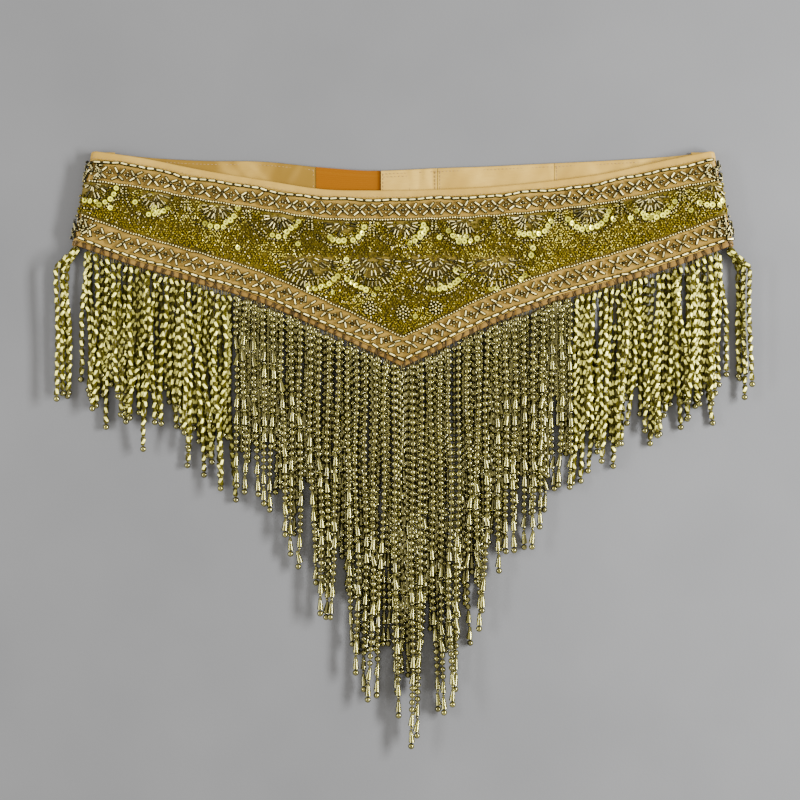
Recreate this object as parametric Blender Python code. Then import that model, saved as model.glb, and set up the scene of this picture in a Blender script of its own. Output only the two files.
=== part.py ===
"""A belly dance hip belt, laid flat on a surface.

The beaded front panel lies on a satin and elastic back band and folds round to it at both sides.
Bead fringes hang from strips along its V hem. +X runs across the belt, +Y from the fringe to the
waist, and +Z up from the surface. Sizes are in millimetres, and MM turns them into metres.
"""

import math
from typing import NamedTuple

import bmesh
import bpy
import numpy as np
from mathutils import Vector

BELT = "belly_dance_hip_belt"
MM = 0.001

# The cloth
WAIST_WIDTH = 399.0  # between the side folds, at the waist edge
HEM_WIDTH = 424.0  # between the side folds, at the hem
WALL = 2.0  # satin, stiffening and lining of the front
BAND_WALL = 1.6  # satin back band
ELASTIC_WALL = 1.4
BAND_DEPTH = 52.0  # back band, from its waist edge down
GAP = 0.3  # between neighbouring pieces
FOLD_HEIGHT = 7.0  # outside height of each side fold
FOLD_RISE = 55.0  # the front slopes up to a fold over this width
SETTLE = 30.0  # below the back band the front comes down to the surface over this length
CLEAR = 9.0  # how far past the back band that starts
WRAP = 11.0  # flat length of the front under each fold, up to the side seam
BINDING = 4.8  # plain satin strip along the waist
HEM_STRIP = 3.2  # satin strip that the fringe hangs from

# Beadwork that lies on the front
FIELD_RAISE = 0.9
BEAD_RAISE = 1.6  # bugle and seed beads
BUGLE_LINE = 2.0  # width of a row of bugle beads
SEED_LINE = 1.8  # width of a row of seed beads
WAIST_BORDER = 10.8  # between the bugle line and the seed line of the waist border
HEM_BORDER = 12.4
WAIST_CROSSES = 32
HEM_CROSSES = 34
BAR = 1.3  # half the width of a cross's arms
FOLD_STEPS = 5  # flat faces round a fold
BEAD_GAP = 0.8  # between a border and the beadwork or strip beside it
FAN_PITCH = 39.6
FAN_RADIUS = 18.0
FAN_RAISE = 0.7
ROSE_PITCH = 40.0
ROSE_RADIUS = 26.0
ROSE_DROP = 66.0  # centres of the lower, larger fans, below the belt's top corner
ROSE_COUNT = 4

# The fringe
STRAND = 2.4  # side of a strand's square section
TOUCH = 1e-6  # metres, between points that are one
ROOT = 2.2  # width of a strand where it leaves the strip
CENTRE_PITCH = 2.98  # along the hem, front and back rows in turn
CENTRE_REACH = 108.9  # half the width of the centre fringe
SIDE_PITCH = 3.7
FOLD_STRANDS = 3
BARE = 7.0  # no strand hangs from this stretch of hem beside a fold
REST = 2.2  # height of a strand's middle when it lies on the surface
NESTLE = 3.7  # nearest that the middles of two strands come
FIRST_BEND = 9.0
STRETCH = 36.0  # usual distance between a strand's bends
SWAY_WAVE = 130.0
SIDE_LENGTH = 100.0
FLARE = 16.0  # a fold's strands swing out within this length
OUTERMOST = 9.5  # how far outside the fold its last strand hangs
INNER_GAIN = {-1: 26.0, 1: 12.0}  # more length beside the centre fringe, left and right
TOP = 191.9  # Y of the belt's top corner
MIDDLE = -1.0  # X of the belt's middle line

TOP_COLUMNS = 49
FIELD_ROWS = 7

BORDER_TOP = BINDING + GAP
SEED_TOP = BORDER_TOP + BUGLE_LINE + WAIST_BORDER
BORDER_END = HEM_STRIP + GAP
HEM_BEADS = HEM_STRIP + BEAD_GAP
SEED_END = HEM_BEADS + BUGLE_LINE + HEM_BORDER
FOLD_RADIUS = (FOLD_HEIGHT - WALL) / 2
FOLD_LENGTH = math.pi * FOLD_RADIUS
HEM_FOLD = HEM_WIDTH / 2 - FOLD_RADIUS - WALL / 2  # where the fold starts, along the hem
SIDE_SEAM = HEM_FOLD + FOLD_LENGTH + WRAP


class Station(NamedTuple):
    """Distances below the belt's top corner at one place across it."""

    across: float  # -1 at the left fold, 1 at the right fold
    waist: float
    back: float
    hem: float


STATIONS = (
    Station(across=-1.00, waist=1.0, back=0.0, hem=61.4),
    Station(across=-0.85, waist=5.1, back=3.8, hem=72.3),
    Station(across=-0.65, waist=12.8, back=6.4, hem=84.2),
    Station(across=-0.45, waist=19.2, back=7.0, hem=96.6),
    Station(across=-0.25, waist=25.0, back=10.9, hem=114.6),
    Station(across=-0.10, waist=25.6, back=12.8, hem=129.0),
    Station(across=0.00, waist=25.6, back=12.2, hem=138.9),
    Station(across=0.10, waist=25.0, back=11.2, hem=129.0),
    Station(across=0.25, waist=23.7, back=10.2, hem=113.6),
    Station(across=0.45, waist=20.2, back=8.3, hem=98.2),
    Station(across=0.65, waist=15.0, back=6.4, hem=86.1),
    Station(across=0.85, waist=6.7, back=3.8, hem=73.3),
    Station(across=1.00, waist=1.0, back=0.6, hem=61.8),
)


class Tip(NamedTuple):
    """How far down the centre fringe reaches at one place across it."""

    x: float
    drop: float


TIPS = (
    Tip(x=-109.4, drop=219.5),
    Tip(x=-90.2, drop=225.3),
    Tip(x=-71.7, drop=261.1),
    Tip(x=-52.5, drop=298.9),
    Tip(x=-31.4, drop=329.6),
    Tip(x=-22.4, drop=355.2),
    Tip(x=5.8, drop=384.0),
    Tip(x=30.1, drop=359.7),
    Tip(x=39.0, drop=326.4),
    Tip(x=50.6, drop=304.0),
    Tip(x=67.2, drop=259.8),
    Tip(x=85.1, drop=256.0),
    Tip(x=97.9, drop=218.9),
    Tip(x=108.2, drop=218.2),
)


class Lock(NamedTuple):
    """Neighbouring strands that drift together towards their tips."""

    x: float
    pull: float


LOCKS = (
    Lock(x=-213.0, pull=0.5),
    Lock(x=-196.0, pull=0.4),
    Lock(x=-179.0, pull=0.5),
    Lock(x=-160.0, pull=0.4),
    Lock(x=-141.0, pull=0.5),
    Lock(x=-122.0, pull=0.4),
    Lock(x=-103.0, pull=0.25),
    Lock(x=-88.0, pull=0.25),
    Lock(x=-72.0, pull=0.3),
    Lock(x=-52.0, pull=0.35),
    Lock(x=-27.0, pull=0.35),
    Lock(x=5.0, pull=0.35),
    Lock(x=29.0, pull=0.35),
    Lock(x=49.0, pull=0.3),
    Lock(x=66.0, pull=0.25),
    Lock(x=84.0, pull=0.25),
    Lock(x=102.0, pull=0.25),
    Lock(x=122.0, pull=0.4),
    Lock(x=138.0, pull=0.5),
    Lock(x=160.0, pull=0.5),
    Lock(x=183.0, pull=0.4),
    Lock(x=199.0, pull=0.5),
    Lock(x=215.0, pull=0.6),
)


class Column(NamedTuple):
    """A place across the front: on its top side, or round a fold when around is over 0."""

    across: float
    around: float = 0.0


class Line(NamedTuple):
    """A line along the front, at a distance below its waist edge or above its hem."""

    edge: str
    distance: float


class Row(NamedTuple):
    """A row of points across the front, part of the way from one line to another."""

    start: Line
    end: Line
    part: float


class Layer(NamedTuple):
    """The two sides of a piece, measured out from the middle of the front's wall."""

    inner: float
    outer: float


WALL_LAYER = Layer(inner=-WALL / 2, outer=WALL / 2)


def lies_on_wall(thickness):
    """The layer of a piece that lies on the front."""
    return Layer(inner=WALL / 2 + GAP, outer=WALL / 2 + GAP + thickness)


def ease(share):
    """0 to 1 with a level start and end."""
    share = min(max(share, 0.0), 1.0)
    return share * share * (3 - 2 * share)


def smooth_through(at, places, values):
    """A curve through the values, smooth but for its ends."""
    slopes = np.gradient(values, places)
    k = int(np.clip(np.searchsorted(places, at, side="right") - 1, 0, len(places) - 2))
    width = places[k + 1] - places[k]
    f = (at - places[k]) / width
    rise = values[k + 1] - values[k]
    start = slopes[k] * width
    end = slopes[k + 1] * width
    return values[k] + start * f + (3 * rise - 2 * start - end) * f**2 + (start + end - 2 * rise) * f**3


def drop_of(edge, across):
    """Distance of an edge below the top corner. The hem keeps its corner at the middle."""
    rows = STATIONS
    if edge == "hem":
        rows = [s for s in STATIONS if (s.across <= 0 if across <= 0 else s.across >= 0)]
    places = np.array([s.across for s in rows])
    return float(smooth_through(across, places, np.array([getattr(s, edge) for s in rows])))


def share_down(line, across):
    """Where a line crosses the front, from 0 at its waist edge to 1 at its hem."""
    depth = drop_of("hem", across) - drop_of("waist", across)
    share = line.distance / depth
    return share if line.edge == "waist" else 1 - share


def wall_height(inward, past_band):
    """Height of the middle of the front's wall, at a distance in from the fold."""
    level = WALL / 2 + (BAND_WALL + GAP) * (1 - ease(past_band / SETTLE))
    fold_top = WALL / 2 + 2 * FOLD_RADIUS
    return level + (fold_top - level) * ease(1 - inward / FOLD_RISE)


def on_front(column, share):
    """(x, drop, z) on the middle of the front's wall, and its outward direction (x, z)."""
    side = math.copysign(1.0, column.across)
    half = (WAIST_WIDTH + (HEM_WIDTH - WAIST_WIDTH) * share) / 2
    fold_at = half - FOLD_RADIUS - WALL / 2
    waist = drop_of("waist", column.across)
    drop = waist + (drop_of("hem", column.across) - waist) * share
    if column.around <= 0:
        past_band = drop - drop_of("back", column.across) - BAND_DEPTH - CLEAR
        z = wall_height((1 - abs(column.across)) * fold_at, past_band)
        return (column.across * fold_at, drop, z), (0.0, 1.0)
    if column.around < FOLD_LENGTH:
        turn = column.around / FOLD_RADIUS
        out = (side * math.sin(turn), math.cos(turn))
        x = side * fold_at + FOLD_RADIUS * out[0]
        return (x, drop, WALL / 2 + FOLD_RADIUS * (1 + out[1])), out
    x = side * (fold_at + FOLD_LENGTH - column.around)
    return (x, drop, WALL / 2), (0.0, -1.0)


def world(x, drop, z):
    """The belt's own measures as a point in metres."""
    return ((x + MIDDLE) * MM, (TOP - drop) * MM, z * MM)


def grid_body(across_count, down_count, place):
    """A closed wall: a grid pushed out through its thickness, with place(i, j, outer) for each point."""
    bm = bmesh.new()
    bmesh.ops.create_grid(bm, x_segments=across_count, y_segments=down_count, size=1.0)
    made = bmesh.ops.extrude_face_region(bm, geom=bm.faces[:])["geom"]
    outer = {v for v in made if isinstance(v, bmesh.types.BMVert)}
    for vert in bm.verts:
        i = round((vert.co.x + 1) / 2 * across_count)
        j = round((1 - vert.co.y) / 2 * down_count)
        vert.co = place(i, j, vert in outer)
    bmesh.ops.recalc_face_normals(bm, faces=bm.faces[:])
    return bm


def material(name, colour, roughness, metallic):
    """A plain finish for one piece."""
    made = bpy.data.materials.new(name)
    made.use_nodes = True
    shader = made.node_tree.nodes["Principled BSDF"]
    shader.inputs["Base Color"].default_value = (*colour, 1.0)
    shader.inputs["Roughness"].default_value = roughness
    shader.inputs["Metallic"].default_value = metallic
    return made


class Finish(NamedTuple):
    """The numbers of a plain finish."""

    name: str
    colour: tuple
    roughness: float
    metallic: float


SATIN = Finish("satin", (0.72, 0.50, 0.26), 0.38, 0.0)
ELASTIC = Finish("elastic", (0.62, 0.27, 0.02), 0.7, 0.0)
BEADING = Finish("beading", (0.52, 0.40, 0.07), 0.3, 0.8)
BEADS = Finish("gold_beads", (0.60, 0.50, 0.14), 0.22, 0.9)


def keep(name, bm, finish, collection):
    """Makes a named object of a finished body, with its own material."""
    mesh = bpy.data.meshes.new(name)
    bm.to_mesh(mesh)
    bm.free()
    mesh.materials.append(material(f"{name}_{finish.name}", finish.colour, finish.roughness, finish.metallic))
    mesh.shade_smooth()
    mesh.set_sharp_from_angle(angle=math.radians(35))
    obj = bpy.data.objects.new(name, mesh)
    collection.objects.link(obj)
    return obj


def top_columns(count):
    """Columns across the top side of the front, one of them on its middle line."""
    return [Column(across=float(u)) for u in np.linspace(-1, 1, count)]


def with_folds(columns, turns):
    """Columns of the top side, carried round both folds through these lengths of cloth."""
    left = [Column(across=-1.0, around=turn) for turn in reversed(turns)]
    right = [Column(across=1.0, around=turn) for turn in turns]
    return left + columns + right


def fold_turns(steps, share):
    """Lengths round a fold, in even steps up to a share of its half circle."""
    return [FOLD_LENGTH * share * (k + 1) / steps for k in range(steps)]


def outside_turns():
    """The lengths round a fold of the columns that beadwork on the front's outside runs to."""
    return [turn for turn in fold_turns(FOLD_STEPS, 1.0) if turn < FOLD_LENGTH / 2]


def rows_between(start, end, count):
    """Rows at even spacing from one line to another, both included."""
    return [Row(start, end, k / count) for k in range(count + 1)]


def front_body(columns, rows, layer, raise_at=None):
    """A piece of the front, through rows of points along it."""

    def place(i, j, outer):
        column = columns[i]
        first = share_down(rows[j].start, column.across)
        share = first + (share_down(rows[j].end, column.across) - first) * rows[j].part
        (x, drop, z), out = on_front(column, share)
        reach = layer.outer if outer else layer.inner
        if outer and raise_at and 0 < j < len(rows) - 1:
            reach += raise_at(x, drop)
        return world(x + out[0] * reach, drop, z + out[1] * reach)

    return grid_body(len(columns) - 1, len(rows) - 1, place)


def crossed_border(edge, near, depth, crosses):
    """A row of bugle beads, a row of crosses and a row of seed beads, as one openwork body."""
    bugle_inside = near + BUGLE_LINE
    seed_inside = bugle_inside + depth
    middle = (bugle_inside + seed_inside) / 2
    layer = lies_on_wall(BEAD_RAISE)
    pitch = 2 * HEM_FOLD / crosses
    rails = ((bugle_inside, near), (seed_inside, seed_inside + SEED_LINE))
    bm = bmesh.new()
    made = {}
    tops = {}

    def point(reach, distance):
        key = (round(reach, 4), round(distance, 4))
        if key not in made:
            column = hem_column(reach)
            (x, drop, z), out = on_front(column, share_down(Line(edge, distance), column.across))
            low = world(x + out[0] * layer.inner, drop, z + out[1] * layer.inner)
            made[key] = bm.verts.new(low)
            high = world(x + out[0] * layer.outer, drop, z + out[1] * layer.outer)
            tops[tuple(made[key].co)] = high
        return made[key]

    def quad(*corners):
        bm.faces.new([point(reach, distance) for reach, distance in corners])

    def rail(inside, outside, posts):
        for a, b in zip(posts, posts[1:]):
            quad((a, outside), (b, outside), (b, inside), (a, inside))

    turned = [HEM_FOLD] + [HEM_FOLD + turn for turn in outside_turns()]
    for inside, outside in rails:
        rail(inside, outside, turned)
        rail(inside, outside, [-reach for reach in turned])
    for k in range(crosses):
        left = pitch * k - HEM_FOLD
        right = left + pitch
        centre = (left + right) / 2
        for inside, outside in rails:
            rail(inside, outside, (left, left + BAR, right - BAR, right))
            tip = (centre, middle + math.copysign(BAR, inside - middle))
            quad((left, inside), (left + BAR, inside), tip, (centre - BAR, middle))
            quad((right - BAR, inside), (right, inside), (centre + BAR, middle), tip)
        quad((centre - BAR, middle), (centre, middle - BAR), (centre + BAR, middle), (centre, middle + BAR))
    bmesh.ops.recalc_face_normals(bm, faces=bm.faces[:])
    pushed = bmesh.ops.extrude_face_region(bm, geom=bm.faces[:])["geom"]
    for vert in pushed:
        if isinstance(vert, bmesh.types.BMVert):
            vert.co = tops[tuple(vert.co)]
    bmesh.ops.recalc_face_normals(bm, faces=bm.faces[:])
    return bm


def fan_raise(x, drop):
    """How far the bead field stands up at the half-flower fans."""
    tallest = 0.0
    fan_line = drop_of("waist", float(np.clip(x / (WAIST_WIDTH / 2), -1, 1))) + SEED_TOP
    for k in range(-5, 6):
        away = math.hypot(x - FAN_PITCH * k, drop - fan_line)
        tallest = max(tallest, ease(1 - away / FAN_RADIUS))
    for k in range(ROSE_COUNT):
        away = math.hypot(x - ROSE_PITCH * (k - (ROSE_COUNT - 1) / 2), drop - ROSE_DROP)
        tallest = max(tallest, ease(1 - away / ROSE_RADIUS))
    return FAN_RAISE * tallest


def build_front(collection):
    """The front panel, its binding and the beadwork that lies on it."""
    top = top_columns(TOP_COLUMNS)
    under = [FOLD_LENGTH + WRAP / 2, FOLD_LENGTH + WRAP]
    whole = with_folds(top, fold_turns(FOLD_STEPS, 1.0) + under)
    outside = with_folds(top, outside_turns())
    field_start = Line("waist", SEED_TOP + SEED_LINE + BEAD_GAP)
    field_end = Line("hem", SEED_END + SEED_LINE + BEAD_GAP)
    field = rows_between(field_start, field_end, FIELD_ROWS)
    border = rows_between(Line("waist", BORDER_TOP), field_start, 1)[:1]
    hem = rows_between(field_end, Line("hem", BORDER_END), 2)[1:]
    keep("front_panel", front_body(whole, border + field + hem, WALL_LAYER), SATIN, collection)
    binding = rows_between(Line("waist", 0.0), Line("waist", BINDING), 1)
    keep("waist_binding", front_body(whole, binding, WALL_LAYER), SATIN, collection)
    keep("waist_border", crossed_border("waist", BORDER_TOP, WAIST_BORDER, WAIST_CROSSES), BEADS, collection)
    keep("hem_border", crossed_border("hem", HEM_BEADS, HEM_BORDER, HEM_CROSSES), BEADS, collection)
    beading = front_body(outside, field, lies_on_wall(FIELD_RAISE), fan_raise)
    keep("bead_field", beading, BEADING, collection)


class BandPiece(NamedTuple):
    """One length of the back band, between two places across the belt."""

    name: str
    start: float
    end: float
    wall: float
    columns: int
    finish: Finish


def side_seam(side, drop):
    """X of the side seam, where the front's folded edge meets the back band."""
    share = (drop - STATIONS[0].waist) / (STATIONS[0].hem - STATIONS[0].waist)
    half = (WAIST_WIDTH + (HEM_WIDTH - WAIST_WIDTH) * min(max(share, 0.0), 1.0)) / 2
    return side * (half - FOLD_RADIUS - WALL / 2 - WRAP - GAP)


def band_body(piece):
    """A flat length of the back band. Its side seams follow the front's folded edges."""
    rows = 2

    def place(i, j, outer):
        x = piece.start + (piece.end - piece.start) * i / piece.columns
        across = float(np.clip(x / (WAIST_WIDTH / 2), -1, 1))
        drop = drop_of("back", across) + BAND_DEPTH * j / rows
        if i == 0 and piece.name == "back_band_left":
            x = side_seam(-1, drop)
        if i == piece.columns and piece.name == "back_band_right":
            x = side_seam(1, drop)
        return world(x, drop, piece.wall if outer else 0.0)

    return grid_body(piece.columns, rows, place)


def build_back(collection):
    """The back band, from the left side seam to the right one."""
    seam = side_seam(1, 0.0)
    lengths = (
        BandPiece("back_band_left", -seam, -56.2, BAND_WALL, 10, SATIN),
        BandPiece("elastic_insert", -55.9, -14.4, ELASTIC_WALL, 3, ELASTIC),
        BandPiece("closure_tab", -14.1, 22.0, BAND_WALL, 3, SATIN),
        BandPiece("back_band_middle", 22.3, 97.0, BAND_WALL, 5, SATIN),
        BandPiece("back_band_right", 97.3, seam, BAND_WALL, 6, SATIN),
    )
    for piece in lengths:
        keep(piece.name, band_body(piece), piece.finish, collection)


class Strand(NamedTuple):
    """One strand of beads: its root along the hem and how it lies."""

    group: str
    reach: float  # from the middle line, along the cloth of the hem
    length: float
    flare: float  # how far it swings aside close to its root
    lean: float  # sideways drift of its tip
    sway: float
    phase: float
    order: int  # strands of a low order lie under the others


def hem_column(reach):
    """The column at a distance along the hem from the middle line."""
    if abs(reach) <= HEM_FOLD:
        return Column(across=reach / HEM_FOLD)
    return Column(across=math.copysign(1.0, reach), around=abs(reach) - HEM_FOLD)


def tip_drop(x):
    """How far down the centre fringe reaches."""
    return float(np.interp(x, [tip.x for tip in TIPS], [tip.drop for tip in TIPS]))


def lean_to_lock(x):
    """Sideways drift towards the nearest lock."""
    lock = min(LOCKS, key=lambda each: abs(each.x - x))
    return lock.pull * (lock.x - x)


def centre_strands(rng):
    """Two rows of strands along the V, the back row under the front one."""
    strands = []
    for side in (-1, 1):
        for k in range(1, int(CENTRE_REACH / CENTRE_PITCH) + 1):
            reach = side * k * CENTRE_PITCH
            (x, drop, _), _ = on_front(hem_column(reach), 1.0)
            back_row = k % 2
            lean = lean_to_lock(x) + rng.uniform(-1.2, 1.2)
            short = rng.uniform(8, 46) if back_row else rng.uniform(0, 4) * min(abs(lean), 5)
            length = max(tip_drop(x + lean) - short - drop, 60.0)
            sway = rng.uniform(0.3, 1.2)
            order = 2 * (1 - back_row) + k // 2 % 2
            strands.append(Strand("centre", reach, length, 0.0, lean, sway, rng.uniform(0, 6.3), order))
    return strands


def side_strands(side, rng):
    """One row of strands along the hem, and a few that swing out from the fold."""
    strands = []
    group = "left" if side < 0 else "right"
    count = int((HEM_FOLD - BARE - CENTRE_REACH) / SIDE_PITCH)
    for k in range(count):
        reach = side * (CENTRE_REACH + GAP + SIDE_PITCH * (k + 0.6))
        (x, _, _), _ = on_front(hem_column(reach), 1.0)
        lean = lean_to_lock(x) + rng.uniform(-2.5, 2.5)
        length = SIDE_LENGTH + INNER_GAIN[side] * (1 - k / count) ** 2 + rng.uniform(-16, 12)
        sway = rng.uniform(0.8, 2.4)
        strands.append(Strand(group, reach, length, 0.0, lean, sway, rng.uniform(0, 6.3), 1 + k % 3))
    for k in range(FOLD_STRANDS):
        around = FOLD_LENGTH * (k + 0.5) / FOLD_STRANDS
        reach = side * (HEM_FOLD + around)
        (x, _, _), _ = on_front(hem_column(reach), 1.0)
        flare = side * (HEM_WIDTH / 2 + OUTERMOST * (1 - k / FOLD_STRANDS)) - x
        length = SIDE_LENGTH + rng.uniform(-20, 4)
        lean = rng.uniform(-1.5, 1.5)
        strands.append(Strand(group, reach, length, flare, lean, rng.uniform(0.3, 1.0), rng.uniform(0, 6.3), -k))
    return strands


def bends(strand):
    """Points (x, drop, z) down a strand, before it is laid on what is under it."""
    (x, drop, z), _ = on_front(hem_column(strand.reach), 1.0)
    count = max(2, round((strand.length - FIRST_BEND) / STRETCH))
    downs = [0.0] + [float(d) for d in np.linspace(FIRST_BEND, strand.length, count + 1)]
    points = []
    for down in downs:
        sway = strand.sway * min(down / STRETCH, 1.0)
        sway *= math.sin(2 * math.pi * down / SWAY_WAVE + strand.phase)
        aside = strand.lean * (down / strand.length) ** 2 + strand.flare * ease(down / FLARE)
        points.append([x + aside + sway, drop + down, z if down == 0 else REST])
    return np.array(points)


def between(points, spacing):
    """Points along a polyline at an even spacing, and each one's place as a fraction of the bends."""
    steps = np.abs(np.diff(points[:, 1]))
    at = [0.0]
    for k, step in enumerate(steps):
        parts = max(1, round(step / spacing))
        at += [k + (n + 1) / parts for n in range(parts)]
    at = np.array(at)
    knots = np.arange(len(points))
    return np.stack([np.interp(at, knots, points[:, c]) for c in range(3)], axis=1), at


def lay_down(strands):
    """The bends of each strand, each laid on the strands that went down before it."""
    laid = {}
    down = np.empty((0, 3))
    for strand in sorted(strands, key=lambda each: each.order):
        points = bends(strand)
        fine, at = between(points, 2.0)
        needed = np.full(len(fine), REST)
        if len(down):
            away = np.hypot(fine[:, None, 0] - down[None, :, 0], fine[:, None, 1] - down[None, :, 1])
            lift = np.sqrt(np.maximum(NESTLE**2 - away**2, 0.0))
            over = np.where(away < NESTLE, down[None, :, 2] + lift, REST)
            needed = np.maximum(needed, over.max(axis=1))
        for k in range(1, len(points)):
            near = (at >= k - 1) & (at <= k + 1)
            points[k, 2] = needed[near].max()
        laid[strand] = points
        down = np.concatenate([down, between(points, 2.0)[0]])
    return laid


def push_out(bm, face, corners, rings):
    """Extrudes a root face through the rings, so that the strand is one body with its strip."""
    for centre, wide, thick in rings:
        face = bmesh.ops.extrude_discrete_faces(bm, faces=[face])["faces"][0]
        for vert, (along, out) in zip(face.verts, corners):
            x = centre[0] + along * wide[0] + out * thick[0]
            z = centre[2] + along * wide[1] + out * thick[1]
            vert.co = world(x, centre[1], z)


def fringe_body(strands, laid, start, end):
    """A strip along the hem, from start to end along the cloth, and the strands that hang from it."""
    strands = sorted(strands, key=lambda each: each.reach)
    edges = [start, end] + [s.reach + side * ROOT / 2 for s in strands for side in (-1, 1)]
    if start < 0 < end:
        edges.append(0.0)
    columns = [hem_column(reach) for reach in sorted(edges)]
    bm = front_body(columns, rows_between(Line("hem", HEM_STRIP), Line("hem", 0.0), 1), WALL_LAYER)

    def corner(reach, outer):
        (x, drop, z), out = on_front(hem_column(reach), 1.0)
        off = WALL_LAYER.outer if outer else WALL_LAYER.inner
        return Vector(world(x + out[0] * off, drop, z + out[1] * off))

    def nearest(vert, places):
        gaps = [(vert.co - place).length for place in places]
        return gaps.index(min(gaps)), min(gaps)

    roots = []
    signs = [(-1, -1), (1, -1), (1, 1), (-1, 1)]
    for strand in strands:
        places = [corner(strand.reach + along * ROOT / 2, out > 0) for along, out in signs]
        for face in bm.faces:
            found = [nearest(vert, places) for vert in face.verts]
            if max(gap for _, gap in found) < TOUCH:
                roots.append((face, [signs[index] for index, _ in found]))
    for strand, (face, signs) in zip(strands, roots, strict=True):
        _, out = on_front(hem_column(strand.reach), 1.0)
        wide = (out[1], -out[0])
        half = STRAND / 2
        rings = [(point, wide, out) for point in laid[strand][1:]]
        push_out(bm, face, [(a * half, b * half) for a, b in signs], rings)
    bmesh.ops.recalc_face_normals(bm, faces=bm.faces[:])
    return bm


def build_fringe(collection):
    """The hem strips with their strands."""
    rng = np.random.default_rng(7)
    strands = centre_strands(rng) + side_strands(-1, rng) + side_strands(1, rng)
    laid = lay_down(strands)
    spans = {
        "left": (-SIDE_SEAM, -CENTRE_REACH - GAP),
        "centre": (-CENTRE_REACH, CENTRE_REACH),
        "right": (CENTRE_REACH + GAP, SIDE_SEAM),
    }
    for group, (start, end) in spans.items():
        own = [strand for strand in strands if strand.group == group]
        keep(f"fringe_{group}", fringe_body(own, laid, start, end), BEADS, collection)


def main():
    """Clears the scene and builds the belt."""
    for obj in list(bpy.data.objects):
        bpy.data.objects.remove(obj, do_unlink=True)
    collection = bpy.data.collections.new(BELT)
    bpy.context.scene.collection.children.link(collection)
    build_front(collection)
    build_back(collection)
    build_fringe(collection)


main()
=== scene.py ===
"""Looks of a belly dance hip belt that lies flat, built round its fixed CAD frame.

The front is peach-gold satin with bugle bead borders, a dense field of seed beads, sequins and
half-flower fans, and a bead fringe along its V hem. The back band is satin with an elastic insert.
Sizes are in millimetres in the frame's axes: +X across the belt, +Y towards the waist, +Z up.
"""

import logging
import math
from dataclasses import dataclass, field
from enum import Enum
from functools import cached_property
from itertools import pairwise, product
from typing import NamedTuple

import bpy
import numpy as np
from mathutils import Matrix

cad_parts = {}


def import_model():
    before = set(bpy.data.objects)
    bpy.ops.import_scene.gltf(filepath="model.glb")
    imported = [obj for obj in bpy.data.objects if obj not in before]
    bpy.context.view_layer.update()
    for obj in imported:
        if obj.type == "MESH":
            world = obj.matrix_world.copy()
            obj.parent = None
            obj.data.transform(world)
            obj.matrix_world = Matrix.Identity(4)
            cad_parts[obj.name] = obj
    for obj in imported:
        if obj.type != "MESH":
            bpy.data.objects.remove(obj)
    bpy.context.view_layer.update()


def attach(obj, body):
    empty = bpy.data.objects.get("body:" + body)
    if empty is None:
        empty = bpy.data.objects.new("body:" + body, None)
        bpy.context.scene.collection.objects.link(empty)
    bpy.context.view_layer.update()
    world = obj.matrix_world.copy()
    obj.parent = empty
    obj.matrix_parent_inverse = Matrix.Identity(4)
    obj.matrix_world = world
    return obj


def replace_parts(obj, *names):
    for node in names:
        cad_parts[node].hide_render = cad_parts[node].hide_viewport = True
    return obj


log = logging.getLogger("hip_belt")

MM = 0.001
BODY = "root"
TAU = 2 * math.pi
UPRIGHT = np.array([0.0, 0.0, 1.0])

Colour = tuple[float, float, float]
Profile = list[tuple[float, float]]
Array = np.ndarray
Numbers = np.ndarray | float
Random = np.random.Generator
Socket = bpy.types.NodeSocket
Piece = bpy.types.Object


def ease(share: Numbers) -> Array:
    """0 to 1 with a level start and end."""
    share = np.clip(share, 0.0, 1.0)
    return share * share * (3 - 2 * share)


def unit(vectors: Array) -> Array:
    """The vectors at length one."""
    return vectors / np.maximum(np.linalg.norm(vectors, axis=-1, keepdims=True), 1e-9)


def rolled(distance: Array, radius: float, least: float = 0.03) -> Array:
    """How far a rounded edge stands up, 0 to 1, at a distance from it of at least a share of its radius."""
    return np.sqrt(1 - (1 - np.clip(distance / radius, least, 1)) ** 2)


def smooth_through(at: Array, places: Array, values: Array) -> Array:
    """A curve through the values, smooth but for its ends.

    Args:
        at: where to read the curve.
        places: where the values are, rising.
        values: the values that the curve goes through.

    Returns:
        The curve's values.
    """
    slopes = np.gradient(values, places)
    k = np.clip(np.searchsorted(places, at, side="right") - 1, 0, len(places) - 2)
    width = places[k + 1] - places[k]
    f = (at - places[k]) / width
    rise = values[k + 1] - values[k]
    start = slopes[k] * width
    end = slopes[k + 1] * width
    return values[k] + start * f + (3 * rise - 2 * start - end) * f**2 + (start + end - 2 * rise) * f**3


# ---- the belt's form


class Edge(Enum):
    """The edges that things are measured from."""

    WAIST = "waist"
    BACK = "back"
    HEM = "hem"


class Station(NamedTuple):
    """Distances below the belt's top corner at one place across it."""

    across: float
    waist: float
    back: float
    hem: float


STATIONS = (
    Station(-1.00, 1.0, 0.0, 61.4),
    Station(-0.85, 5.1, 3.8, 72.3),
    Station(-0.65, 12.8, 6.4, 84.2),
    Station(-0.45, 19.2, 7.0, 96.6),
    Station(-0.25, 25.0, 10.9, 114.6),
    Station(-0.10, 25.6, 12.8, 129.0),
    Station(0.00, 25.6, 12.2, 138.9),
    Station(0.10, 25.0, 11.2, 129.0),
    Station(0.25, 23.7, 10.2, 113.6),
    Station(0.45, 20.2, 8.3, 98.2),
    Station(0.65, 15.0, 6.4, 86.1),
    Station(0.85, 6.7, 3.8, 73.3),
    Station(1.00, 1.0, 0.6, 61.8),
)


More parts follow.
